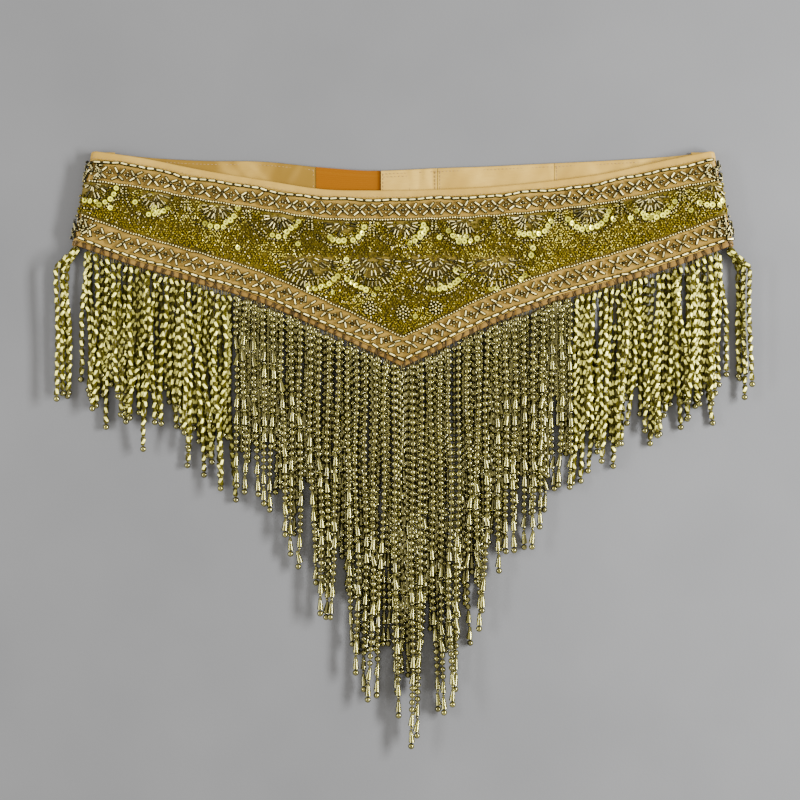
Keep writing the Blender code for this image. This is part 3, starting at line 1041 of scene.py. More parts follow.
class Finishes:
    """Every finish of the belt, made once."""

    def __init__(self) -> None:
        """Makes the materials."""
        peach = SatinFinish("peach_satin", (0.345, 0.218, 0.04), (0.285, 0.172, 0.026), (0.16, 0.1, 0.018))
        band = SatinFinish(
            "band_satin", (0.41, 0.272, 0.058), (0.335, 0.207, 0.036), (0.145, 0.082, 0.01), roughness=0.34
        )
        strip = SatinFinish("hem_satin", (0.225, 0.138, 0.033), (0.135, 0.074, 0.013), (0.06, 0.03, 0.004))
        elastic = ElasticFinish("ribbed_elastic", (0.157, 0.055, 0.0), (0.138, 0.044, 0.0), (0.04, 0.01, 0.0))
        bugles = BeadFinish("bugle_beads", (0.006, 0.005, 0.0), (1.0, 0.86, 0.34))
        seeds = BeadFinish("seed_beads", (0.006, 0.005, 0.0), (1.0, 0.86, 0.32))
        glitter = BeadFinish(
            "field_beads", (0.045, 0.034, 0.0), (1.0, 0.97, 0.22), metallic=0.3, middle=(0.36, 0.265, 0.006)
        )
        sequins = BeadFinish(
            "cup_sequins", (0.05, 0.042, 0.0), (1.0, 0.98, 0.08), 0.24, metallic=0.4, coat=0.15, glassy=0.2
        )
        shiny = {"roughness": 0.12, "coat": 0.6, "coat_ior": 1.7, "glassy": 0.5}
        rounds = BeadFinish("round_beads", (0.085, 0.076, 0.004), (0.2, 0.183, 0.032), metallic=0.95, **shiny)
        tubes = BeadFinish("twisted_tubes", (0.04, 0.034, 0.0), (1.0, 0.95, 0.2))
        drops = BeadFinish("drop_beads", (0.08, 0.072, 0.004), (0.2, 0.185, 0.028), metallic=0.9, **shiny)
        ground = GroundFinish(
            "glitter_ground", (0.105, 0.074, 0.002), (0.034, 0.026, 0.0), (0.12, 0.086, 0.014)
        )
        string = ThreadFinish("strand_thread", (0.13, 0.105, 0.035), (0.055, 0.045, 0.01))
        stitch = ThreadFinish("hem_stitches", (0.055, 0.031, 0.005), (0.016, 0.009, 0.001))
        seam = ThreadFinish("seam_thread", (0.30, 0.195, 0.08), (0.19, 0.115, 0.042))

        def dress(slot: str, *finishes: Finish) -> list[Dressing]:
            """Makes each finish's material and pairs it with the slot's name."""
            return [Dressing(finish.material(), slot) for finish in finishes]

        self.satin, self.band, self.hem = dress("satin", peach, band, strip)
        (self.elastic,) = dress("elastic", elastic)
        self.bugles, self.seeds = dress("gold_beads", bugles, seeds)
        self.field, self.sequins = dress("beading", glitter, sequins)
        self.rounds, self.tubes, self.drops = dress("gold_beads", rounds, tubes, drops)
        (self.ground,) = dress("beading", ground)
        (self.strings,) = dress("gold_beads", string)
        self.stitches, self.seam = dress("satin", stitch, seam)


# ---- bead shapes

# Directions round a bead whose uppermost facet is narrow and flat.
CROWNED = from_top(-20, 20, 26, 115, 245, 334)
ROUND_BEAD = turned_bead(round_profile(3.95, 2.04, 0.55, 5), even(10))
PLAIN_ROUND = turned_bead(barrel(1.95, 1.25, 1.15, 1.85), even(6))
END_BALL = turned_bead(round_profile(3.95, 2.04, 0.4, 6), even(12))
SPACER = turned_bead(round_profile(2.0, 1.15, 0.4, 4), even(7))
SEED = with_painted_light(turned_bead(barrel(0.84, 0.55, 0.22, 1.12), CROWNED), 0.25)
FIELD_PROFILE = [(-0.66, 0.4), (0.0, 0.86), (0.66, 0.4)]
FIELD_SEED = with_painted_light(turned_bead(FIELD_PROFILE, even(5, math.pi / 2)), 0.1, 85.0)
BUGLE = with_painted_light(turned_bead(barrel(2.85, 0.85, 1.72, 1.25), CROWNED), 1.75)
RAY = with_painted_light(turned_bead(barrel(2.5, 0.55, 1.65, 0.92), CROWNED), 1.7)
DROP = turned_bead([(-4.1, 0.6), (-3.8, 1.0), (-1.0, 1.42), (2.0, 1.82), (3.7, 2.02), (4.1, 1.2)], even(12))
PLAIN_DROP = turned_bead([(-4.1, 0.6), (-3.8, 1.0), (3.7, 1.9), (4.1, 1.2)], even(7))
TWISTED_TUBE = faceted_tube(1.8)
COUNTER_TUBE = faceted_tube(-1.8)
SEQUIN = cup_sequin(1.85, 0.42, 0.27)
STITCH = turned_bead(barrel(1.5, 0.18, 1.2, 0.42), even(5))


# ---- the front


# How finely cloth is divided round a fold.
FOLD_STEP = 0.8


def across_columns(form: BeltForm, count: int, around: float, under: int = 0) -> Array:
    """Reaches of a grid's columns across the front.

    Args:
        form: the belt's form.
        count: columns on the top side.
        around: how far round each fold the grid runs.
        under: columns on the flat part under each fold.

    Returns:
        The reaches, rising.
    """
    steps = max(2, round(around / FOLD_STEP))
    right = form.hem_fold + np.linspace(0, around, steps + 1)[1:]
    if under:
        right = np.concatenate([right, np.linspace(right[-1], form.side_seam, under + 1)[1:]])
    top = np.linspace(-form.hem_fold, form.hem_fold, count)
    return np.concatenate([-right[::-1], top, right])


@dataclass
class FrontPanel:
    """The satin front, folded round to the back at both sides."""

    form: BeltForm
    finishes: Finishes
    columns: int = 161
    rows: int = 46
    under_columns: int = 6
    swell: float = 0.24
    slack: float = 0.35
    puff_uneven: float = 0.3
    shade_share: float = 0.6
    shade_fade: float = 1.2
    cut_width: float = 0.455
    cut_depth: float = 0.130
    cut_area: float = 0.0350

    def swelling(self, reach: Array, share: Array) -> Array:
        """How the satin puffs up between the rows of beads that are sewn through it.

        Args:
            reach: along the cloth of the hem.
            share: 0 at the waist edge, 1 at the hem.

        Returns:
            Heights over the flat cloth.
        """
        form = self.form
        depth = form.depth_at(reach)
        down = share * depth
        up = depth - down
        puff = np.zeros(reach.shape)
        for distance, start, width in (
            (down, form.waist_beads + form.bugle_line, form.waist_border),
            (up, form.hem_beads + form.bugle_line, form.hem_border),
        ):
            part = np.clip((distance - start) / width, 0, 1)
            uneven = 1 - self.puff_uneven + self.puff_uneven * np.cos(reach * 0.97)
            puff = puff + np.sin(math.pi * part) ** 2 * uneven
        slack = self.slack * np.sin(reach * 0.19 + 2.1 * share) * np.sin(reach * 0.071 + 5 * share)
        top_side = 1 - ease((np.abs(reach) - form.hem_fold) / form.fold_radius)
        return self.swell * (puff + slack) * top_side

    def shade_under_beads(self, reach: Array, share: Array) -> Array:
        """How much painted shade the satin gets from the beads that are sewn over it.

        Args:
            reach: along the cloth of the hem.
            share: 0 at the waist edge, 1 at the hem.

        Returns:
            0 for bare satin, up to 1.
        """
        form = self.form
        depth = form.depth_at(reach)
        below_waist = ease((share * depth - form.waist_beads) / self.shade_fade)
        above_hem = ease(((1 - share) * depth - form.hem_beads) / self.shade_fade)
        uneven = 0.12 * np.sin(reach * 0.41 + 9 * share) + 0.10 * np.sin(reach * 0.13)
        return below_waist * above_hem * (self.shade_share + uneven)

    def build(self) -> Piece:
        """Makes the satin front.

        Returns:
            The front.
        """
        form = self.form
        reach = across_columns(form, self.columns, form.fold_length, self.under_columns)
        reach, share = form.grid_between(reach, form.waist_beads, form.hem_strip + form.gap, self.rows)
        at, out = form.on_front(reach, share)
        outer = form.wall / 2 + self.swelling(reach, share)
        # Painted shade under the beadwork.
        painted_shade = {"painted_shade": self.shade_under_beads(reach, share)}
        panel = cloth_shell("front_satin", at, out, -form.wall / 2, outer, self.finishes.satin, painted_shade)
        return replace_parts(panel, "front_panel")


@dataclass
class WaistBinding:
    """The plain satin strip that binds the waist edge."""

    form: BeltForm
    finishes: Finishes
    columns: int = 361
    under_columns: int = 4
    rows_at: tuple[float, ...] = (0.0, 0.12, 0.35, 0.7, 1.1, 1.8, 2.6, 3.4, 4.0, 4.3, 4.6)
    roll: float = 1.0
    ripple: float = 0.14
    pressed: float = 0.25
    pressed_width: float = 0.9
    stitch_pitch: float = 2.7
    stitch_inset: float = 0.75
    stitch_sunk: float = 0.15
    stitch_size: float = 0.55
    past_fold: float = 3.0

    def build(self) -> list[Piece]:
        """Makes the binding, rolled over its edge, and its line of stitches.

        Returns:
            The binding and the stitches.
        """
        form = self.form
        reach = across_columns(form, self.columns, form.fold_length, self.under_columns)
        distance = np.array([*self.rows_at, form.binding])
        reach, share, down = form.grid_along(Edge.WAIST, reach, distance)
        at, out = form.on_front(reach, share)
        pressed = 1 - self.pressed * ease((down - form.binding + self.pressed_width) / 0.6)
        soft = np.sin(reach * 0.61) * np.sin(reach * 0.173 + 1.0) * np.sin(math.pi * down / form.binding)
        half = form.wall / 2 * rolled(down, self.roll, 0.02)
        outer = half * pressed + self.ripple * soft
        binding = cloth_shell("waist_binding_satin", at, out, -half, outer, self.finishes.satin)
        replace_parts(binding, "waist_binding")
        end = form.hem_fold + self.past_fold
        line = np.arange(-end, end, self.stitch_pitch)
        places = form.laid_along(Edge.WAIST, line, form.binding - self.stitch_inset, -self.stitch_sunk)
        sewn = Beadwork()
        sewn.add(STITCH, places, 0.5, self.stitch_size)
        return [binding, sewn.make("waist_binding_stitches", self.finishes.seam)]


class Rows(NamedTuple):
    """How one border's rows of beads are sewn."""

    edge: Edge
    near: float
    depth: float
    crosses: int
    bugle_pitch: float
    wobble: float
    name: str
    seed: int

    @property
    def flip(self) -> int:
        """1 where a distance from the edge runs towards the waist, -1 where it runs towards the hem."""
        return 1 if self.edge is Edge.HEM else -1


@dataclass
class BorderBeading:
    """A border: a row of bugles, a row of crossed bugles and a row of seed beads."""

    form: BeltForm
    finishes: Finishes
    rows: Rows
    seed_pitch: float = 1.74
    turn: float = 3.6
    arm: float = 3.2
    arm_size: float = 0.88
    knot: float = 0.8
    eye: float = 1.15
    ring: float = 1.8
    ring_beads: int = 4
    ring_size: float = 0.75
    crowded: float = 7.0
    crowded_seeds: int = 34
    crowded_pitch: float = 2.3
    bugle_height: float = 1.25
    cross_height: float = 1.2
    seed_height: float = 1.1

    def wander(self, reach: Array) -> Array:
        """How far the hand-sewn row of bugles strays from its line."""
        return self.rows.wobble * (0.6 * np.sin(reach / 10.5 + self.rows.seed) + 0.4 * np.sin(reach / 4.9))

    def sew(
        self, work: Beadwork, bead: tuple[BeadShape, float], reach: Array, distance: Numbers, height: float,
        turn: Numbers, tone: Array,
    ) -> None:
        """Adds beads of one shape and size at distances from the border's edge, each turned on the cloth."""
        places = self.form.laid_along(self.rows.edge, reach, distance, height)
        work.add(bead[0], places.turned(turn), tone, bead[1])

    def build(self) -> list[Piece]:
        """Makes the bugles and the seed beads.

        Returns:
            The bugles and the seed beads.
        """
        form, rows = self.form, self.rows
        rng = np.random.default_rng(rows.seed)
        end = form.hem_fold + self.turn
        bugles, seeds = Beadwork(), Beadwork()
        line = np.arange(-end, end, rows.bugle_pitch)
        line = line + rng.uniform(-0.25, 0.25, len(line))
        lean = rows.flip * (self.wander(line + 0.5) - self.wander(line - 0.5))
        turn = np.arctan(lean) + rng.normal(0, 0.07, len(line))
        distance = rows.near + form.bugle_line / 2 + self.wander(line)
        tone = rng.uniform(0.5, 1, len(line))
        self.sew(bugles, (BUGLE, 1.0), line, distance, self.bugle_height, turn, tone)
        self.sew_crosses(bugles, seeds, rng)
        self.crowd_folds(bugles, seeds, rng)
        line = np.arange(-end, end, self.seed_pitch)
        line = line + rng.uniform(-0.12, 0.12, len(line))
        distance = rows.near + form.bugle_line + rows.depth + form.seed_line / 2
        distance = distance + 0.22 * np.sin(line / 3.1) + rng.normal(0, 0.1, len(line))
        turn, tone = rng.normal(0, 0.15, len(line)), rng.uniform(0.45, 1, len(line))
        self.sew(seeds, (SEED, 0.98), line, distance, self.seed_height, turn, tone)
        made = bugles.make(f"{rows.name}_bugles", self.finishes.bugles)
        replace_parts(made, rows.name)
        return [made, seeds.make(f"{rows.name}_seeds", self.finishes.seeds)]

    def sew_crosses(self, bugles: Beadwork, seeds: Beadwork, rng: Random) -> None:
        """Adds the crosses, each of four bugles round a seed bead, and the eye beads between them.

        Args:
            bugles, seeds: get the beads.
            rng: gives the unevenness.
        """
        form, rows = self.form, self.rows
        pitch = 2 * form.hem_fold / rows.crosses
        centres = -form.hem_fold + pitch * (np.arange(-1, rows.crosses + 1) + 0.5)
        middle = rows.near + form.bugle_line + rows.depth / 2
        lean = math.atan2(rows.depth / 2 - 0.6, pitch / 2 - 0.9)
        for side in (-1, 1):
            for up in (-1, 1):
                jitter = rng.normal(0, 0.28, (2, len(centres)))
                reach = centres + side * self.arm * math.cos(lean) + jitter[0]
                distance = middle + rows.flip * up * self.arm * math.sin(lean) + jitter[1]
                angle = side * up * lean + rng.normal(0, 0.15, len(centres))
                tone = rng.uniform(0.3, 1, len(centres))
                near = np.abs(reach) < form.hem_fold + self.turn
                reach, distance, angle, tone = (values[near] for values in (reach, distance, angle, tone))
                self.sew(bugles, (BUGLE, self.arm_size), reach, distance, self.cross_height, angle, tone)
        knots = centres[1:-1]
        tone = rng.uniform(0, 0.4, len(knots))
        self.sew(seeds, (SEED, self.knot), knots, middle, self.bugle_height, 0.0, tone)
        eyes = centres[:-1] + pitch / 2
        count = len(eyes)
        distance = middle + rng.normal(0, 0.3, count)
        turn, tone = rng.uniform(0, math.pi, count), rng.uniform(0.0, 0.15, count)
        self.sew(seeds, (SEED, self.eye), eyes, distance, 1.35, turn, tone)
        for angle in even(self.ring_beads):
            reach = eyes + self.ring * math.cos(angle)
            distance = middle + self.ring * math.sin(angle) + rng.normal(0, 0.15, count)
            turn, tone = rng.uniform(0, math.pi, count), rng.uniform(0.35, 1.0, count)
            self.sew(seeds, (SEED, self.ring_size), reach, distance, 0.9, turn, tone)

    def crowd_folds(self, bugles: Beadwork, seeds: Beadwork, rng: Random) -> None:
        """Fills the border close together where it goes round the folds.

        Args:
            bugles, seeds: get the beads.
            rng: gives the unevenness.
        """
        form, rows, count = self.form, self.rows, self.crowded_seeds
        first, depth = rows.near + form.bugle_line + 1.0, rows.depth - 1.5
        for side in (-1, 1):
            reach = side * (form.hem_fold + rng.uniform(-self.crowded, self.turn, count))
            distance = first + depth * rng.uniform(0, 1, count)
            turn, tone = rng.uniform(0, math.pi, count), rng.uniform(0.1, 0.75, count)
            self.sew(seeds, (SEED, 0.95), reach, distance, 1.05, turn, tone)
            down = np.arange(first, first + depth, self.crowded_pitch)
            reach = side * (form.hem_fold + rng.uniform(0.2, self.turn - 0.4, len(down)))
            turn, tone = rng.normal(1.57, 0.7, len(down)), rng.uniform(0.1, 0.55, len(down))
            self.sew(bugles, (BUGLE, 0.85), reach, down, 1.15, turn, tone)


class FanRing(NamedTuple):
    """One ring of a fan: how many beads, how far out, how wide the arc and how large the beads."""

    shape: BeadShape
    count: int
    wide: float
    deep: float
    half_arc: float
    size: float
    radial: bool
    height: float


@dataclass
class BeadField:
    """The densely beaded ground between the borders, with its half-flower fans."""

    form: BeltForm
    finishes: Finishes
    columns: int = 171
    rows: int = 24
    turn: float = 3.2
    bed: float = 0.35
    pitch: float = 1.66
    jitter: float = 0.42
    margin: float = 0.9
    edge_gap: float = 0.2
    bald: float = 0.05
    open_bald: float = 0.74
    row_step: float = 0.87
    spread_across: tuple[float, float] = (-214.0, 214.0)
    spread_down: tuple[float, float] = (16.0, 126.0)
    tilt: float = 0.45
    fan_bare: float = 0.42
    rose_bare: float = 0.5
    barest: float = 0.8
    bare_fade: float = 5.0
    amber_depth: float = 7.5
    amber_sway: float = 2.5
    amber_fade: float = 4.0
    loose_sequins: int = 70
    loose_across: tuple[float, float] = (-205.0, 205.0)
    loose_down: tuple[float, float] = (20.0, 122.0)
    loose_margin: float = 2.5
    loose_lift: float = 1.15
    fan_reach: float = 19.4
    rose_reach: float = 20.0
    fan_start: float = 2.8
    column_aside: float = 1.1
    flowers: tuple[tuple[float, float], ...] = ((-21.0, 101.0), (0.0, 104.0), (21.0, 101.0))
    flower_rings: tuple[tuple[float, int], ...] = ((0.0, 1), (2.1, 6), (3.9, 11))

    fan_rings: tuple[FanRing, ...] = (
        FanRing(RAY, 8, 3.6, 3.5, 1.45, 0.7, True, 0.95),
        FanRing(RAY, 12, 8.0, 7.5, 1.50, 0.95, True, 1.1),
        FanRing(SEED, 16, 11.4, 10.4, 1.52, 0.8, False, 1.0),
        FanRing(SEQUIN, 12, 13.3, 11.9, 1.45, 0.93, False, 1.5),
        FanRing(SEQUIN, 11, 15.6, 13.7, 1.30, 0.93, False, 1.7),
        FanRing(SEED, 30, 18.5, 15.9, 1.55, 0.9, False, 1.2),
    )
    rose_rings: tuple[FanRing, ...] = (
        FanRing(RAY, 8, 5.0, 5.0, 1.3, 0.8, True, 1.0),
        FanRing(RAY, 13, 10.4, 10.2, 1.38, 0.92, True, 1.1),
        FanRing(SEED, 24, 14.0, 13.6, 1.45, 0.85, False, 1.1),
        FanRing(RAY, 19, 17.6, 17.0, 1.4, 0.92, True, 1.15),
        FanRing(SEQUIN, 19, 21.8, 20.2, 1.45, 0.93, False, 1.55),
        FanRing(SEED, 44, 25.6, 24.2, 1.5, 0.9, False, 1.15),
    )

    def top_of(self, x: Array, drop: Array) -> Array:
        """How far above the cloth the ground's surface is."""
        return self.form.gap + self.bed + self.form.fan_rise(x, drop)

    def inside(self, x: Array, drop: Array, margin: float) -> Array:
        """Whether points lie in the field, clear of the borders by a margin.

        Args:
            x, drop: from the middle line, and below the top corner.
            margin: how far clear of the borders.

        Returns:
            True for each point inside.
        """
        form = self.form
        down, up, reach = form.from_edges(x, drop)
        start, end = (row + form.seed_line + margin for row in (form.seed_top, form.seed_end))
        return (down > start) & (up > end) & (np.abs(reach) < form.hem_fold + self.turn)

    def openness(self, x: Array, drop: Array) -> Array:
        """1 where a fan leaves the cloth nearly bare, 0 in the dense ground.

        Args:
            x, drop: from the middle line, and below the top corner.

        Returns:
            0 to 1 for each point.
        """
        bare = np.zeros(np.shape(x))
        fans = ((self.form.fan_centres, self.fan_bare), (self.form.rose_centres, self.rose_bare))
        for centres, share in fans:
            for centre_x, centre_drop, radius in centres:
                away = np.hypot(x - centre_x, drop - centre_drop)
                below = ease((drop - centre_drop) / 4)
                dense = ease((away - share * radius) / self.bare_fade)
                bare = np.maximum(bare, self.barest * below * (1 - dense))
        return bare

    def build_ground(self) -> Piece:
        """Makes the ground cloth under the beads.

        Returns:
            The ground cloth.
        """
        form = self.form
        reach = across_columns(form, self.columns, self.turn)
        top, bottom = (start + form.seed_line + self.edge_gap for start in (form.seed_top, form.seed_end))
        reach, share = form.grid_between(reach, top, bottom, self.rows)
        at, out = form.on_front(reach, share)
        x, drop = at[..., 0] - form.middle, form.top - at[..., 1]
        satin = self.openness(x, drop)
        outer = form.wall / 2 + self.top_of(x, drop) - 0.15
        inner = form.wall / 2 - 0.05
        ground = cloth_shell("bead_ground", at, out, inner, outer, self.finishes.ground, {"satin": satin})
        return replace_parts(ground, "bead_field")

    def scatter(self, rng: Random) -> tuple[Array, Array]:
        """Points of the dense ground, evenly spread but never in rows.

        Args:
            rng: gives the unevenness.

        Returns:
            x and drop of each bead.
        """
        across = np.arange(*self.spread_across, self.pitch)
        down = np.arange(*self.spread_down, self.pitch * self.row_step)
        x, drop = np.meshgrid(across, down)
        x = x + (np.arange(len(down)) % 2 * self.pitch / 2)[:, None]
        x = x + rng.uniform(-self.jitter, self.jitter, x.shape)
        drop = drop + rng.uniform(-self.jitter, self.jitter, x.shape)
        keep = self.inside(x, drop, self.margin)
        keep &= rng.uniform(0, 1, x.shape) > self.bald + self.open_bald * self.openness(x, drop)
        return x[keep], drop[keep]

    def amber_band(self, x: Array, drop: Array) -> Array:
        """1 in the band of amber beads along the hem border, 0 above it."""
        above = self.form.from_edges(x, drop)[1] - self.form.seed_end
        return 1 - ease((above - self.amber_depth - self.amber_sway * np.sin(x / 8.0)) / self.amber_fade)

    def build_seeds(self) -> list[Piece]:
        """Makes the seed beads of the dense ground, in two halves.

        Returns:
            The left and the right half.
        """
        rng = np.random.default_rng(21)
        x, drop = self.scatter(rng)
        count = len(x)
        patch = 0.5 + 0.5 * np.sin(x / 10.0 + 1.3 * np.sin(drop / 7.0)) * np.sin(drop / 8.0 + x / 23.0)
        amber = self.amber_band(x, drop)
        # Light seeds are partly the beads' own lemon colour and partly painted glints; more of them are light
        # towards the right, painted as stronger light there.
        share = 0.03 + 0.78 * patch**3 + 0.3 * ease((x - 20) / 60)
        bright = rng.uniform(0, 1, count) < share * (1 - 0.5 * amber)
        dim = rng.uniform(0.0, 0.07 + 0.35 * patch, count) + 0.18 * amber
        tone = np.where(bright, rng.uniform(0.55, 1.0, count), dim)
        height = self.top_of(x, drop) + 0.45 + rng.uniform(-0.15, 0.2, count)
        places = self.form.settled(x, drop, height).turned(rng.uniform(0, TAU, count))
        places = places.tilted(rng.normal(0, self.tilt, count))
        size = rng.uniform(0.85, 1.15, count)
        made = []
        for name, half in (("field_seeds_left", x < 0), ("field_seeds_right", x >= 0)):
            seeds = Beadwork()
            seeds.add(FIELD_SEED, places.kept(half), tone[half], size[half])
            made.append(seeds.make(name, self.finishes.field, 20.0))
        return made

    def ring_places(self, ring: FanRing, centre: Array, rng: Random, reach: float) -> tuple[Array, Places]:
        """Where one ring's beads lie.

        Args:
            ring: the ring.
            centre: (x, drop, radius) of the fan.
            rng: gives the hand-sewn unevenness.
            reach: beads farther aside than this are left out, where the next fan starts.

        Returns:
            How far aside each bead is, and the places.
        """
        angle = np.linspace(-ring.half_arc, ring.half_arc, ring.count)
        uneven = rng.normal(0, 0.3, (2, ring.count))
        x = centre[0] + ring.wide * np.sin(angle) + uneven[0]
        drop = centre[1] + self.fan_start + ring.deep * np.cos(angle) + uneven[1]
        keep = self.inside(x, drop, 0.4) & (np.abs(x - centre[0]) < reach)
        x, drop, angle = x[keep], drop[keep], angle[keep]
        height = self.top_of(x, drop) - self.bed + ring.height
        turn = angle - math.pi / 2 if ring.radial else angle
        return x - centre[0], self.form.settled(x, drop, height).turned(turn + rng.normal(0, 0.14, len(x)))

    def build_fans(self) -> list[Piece]:
        """Makes the fans' bugles, seed beads and sequins, and the loose sequins between them.

        Returns:
            The bugles, the seed beads and the sequins.
        """
        rng = np.random.default_rng(33)
        bugles, seeds, sequins = Beadwork(), Beadwork(), Beadwork()
        heaps = {id(RAY): bugles, id(SEED): seeds}
        groups = (
            (self.form.fan_centres, self.fan_rings, self.fan_reach),
            (self.form.rose_centres, self.rose_rings, self.rose_reach),
        )
        for centres, rings, reach in groups:
            for centre, ring in product(centres, rings):
                aside, places = self.ring_places(ring, centre, rng, reach)
                if ring.shape is SEQUIN:
                    # Sequins gather round one place on each ring and are painted brightest there; the fans
                    # farther right get more painted light.
                    off = aside / ring.wide - rng.uniform(-0.4, 0.9)
                    gain = 0.8 if centre[0] < 60 else 1.15
                    self.sew_sequins(sequins, seeds, places, 0.05 + gain * np.exp(-((off / 0.4) ** 2)), rng)
                else:
                    sewn = places.kept(rng.uniform(0, 1, len(places.at)) > 0.12)
                    tone = np.clip(rng.normal(0.38, 0.3, len(sewn.at)), 0.03, 1)
                    heaps[id(ring.shape)].add(ring.shape, sewn, tone, ring.size)
        self.sew_columns(seeds, rng)
        self.sew_flowers(seeds, rng)
        x = rng.uniform(*self.loose_across, self.loose_sequins * 2)
        drop = rng.uniform(*self.loose_down, self.loose_sequins * 2)
        keep = self.inside(x, drop, self.loose_margin) & (self.openness(x, drop) < 0.3)
        x, drop = x[keep], drop[keep]
        places = self.form.settled(x, drop, self.top_of(x, drop) + self.loose_lift)
        self.sew_sequins(sequins, seeds, places, rng.uniform(0.0, 1.0, len(x)) ** 1.5, rng)
        return [
            bugles.make("fan_bugles", self.finishes.bugles),
            seeds.make("fan_seeds", self.finishes.seeds),
            sequins.make("fan_sequins", self.finishes.sequins, 40.0),
        ]

    def sew_sequins(
        self, sequins: Beadwork, seeds: Beadwork, places: Places, lit: Array, rng: Random
    ) -> None:
        """Adds cup sequins, each held by a seed bead and leaning its own way.

        Args:
            sequins: gets the sequins.
            seeds: gets the seed beads.
            places: where they are sewn.
            lit: how much painted light each one's plating gets, which also decides which of them are sewn.
            rng: gives their unevenness.
        """
        sewn = lit > rng.uniform(0.08, 0.55, len(lit))
        places, lit = places.kept(sewn), lit[sewn]
        count = len(places.at)
        leaning = places.turned(rng.uniform(0, TAU, count)).tilted(rng.normal(0, 0.3, count))
        tone = np.clip(lit * rng.uniform(0.9, 1.3, count), 0.05, 1)
        sequins.add(SEQUIN, leaning, tone, rng.uniform(0.9, 1.08, count))
        held = Places(places.at + places.out * 0.25, places.along, places.out)
        seeds.add(SEED, held.turned(rng.uniform(0, TAU, count)), rng.uniform(0.1, 0.7, count), 0.36)

    def sew_columns(self, seeds: Beadwork, rng: Random) -> None:
        """Adds the pairs of short seed bead columns between the fans.

        Args:
            seeds: gets the seed beads.
            rng: gives the unevenness.
        """
        down = np.arange(2.6, 10.0, 1.75)
        for left, right in pairwise(self.form.fan_centres):
            for aside in (-self.column_aside, self.column_aside):
                x = np.full(len(down), (left[0] + right[0]) / 2 + aside) + rng.normal(0, 0.1, len(down))
                drop = (left[1] + right[1]) / 2 + down
                places = self.form.settled(x, drop, self.top_of(x, drop) + 0.75).turned(math.pi / 2)
                seeds.add(SEED, places, rng.uniform(0.1, 0.8, len(down)), 0.85)

    def sew_flowers(self, seeds: Beadwork, rng: Random) -> None:
        """Adds small flowers of seed beads in the point of the V.

        Args:
            seeds: gets the seed beads.
            rng: gives the unevenness.
        """
        for (centre_x, centre_drop), (radius, count) in product(self.flowers, self.flower_rings):
            angle = even(count)
            x = centre_x + radius * np.sin(angle)
            drop = centre_drop + radius * np.cos(angle)
            places = self.form.settled(x, drop, self.top_of(x, drop) + 0.8).turned(angle)
            seeds.add(SEED, places, rng.uniform(0.3, 1, count), 1.05)

    def build(self) -> list[Piece]:
        """Makes the whole field."""
        return [self.build_ground(), *self.build_seeds(), *self.build_fans()]


# ---- the back


class BandLength(NamedTuple):
    """One length of the back band, between two places across the belt."""

    node: str
    name: str
    start: float
    end: float
    wall: float
    columns: int
    # How much darker the length is all over, in patches.
    darker: float = 0.0


class Crease(NamedTuple):
    """A soft fold across the band: its place, lean, width and height."""

    x: float
    lean: float
    width: float
    height: float


CREASE_ROWS = (
    (-186.0, 0.9, 5.0, 0.30), (-163.0, -0.5, 3.5, 0.35), (-150.0, -0.7, 3.0, -0.30),
    (-112.0, 0.8, 3.0, 0.28), (-104.0, 0.8, 2.4, -0.30), (-92.0, 1.0, 3.0, 0.24),
    (-71.0, -0.6, 3.2, 0.30), (6.5, 0.15, 2.2, 0.30), (11.0, -0.1, 1.8, -0.30),
    (15.5, 0.2, 2.2, 0.35), (19.6, 0.0, 1.5, -0.30), (48.0, 0.8, 4.5, 0.25),
    (86.0, -0.5, 3.2, -0.25), (96.0, 0.2, 2.0, 0.30), (124.0, 0.8, 3.5, 0.25),
    (151.0, 0.6, 3.0, -0.25), (167.0, -0.8, 3.0, 0.3),
)
CREASES = [Crease(*row) for row in CREASE_ROWS]


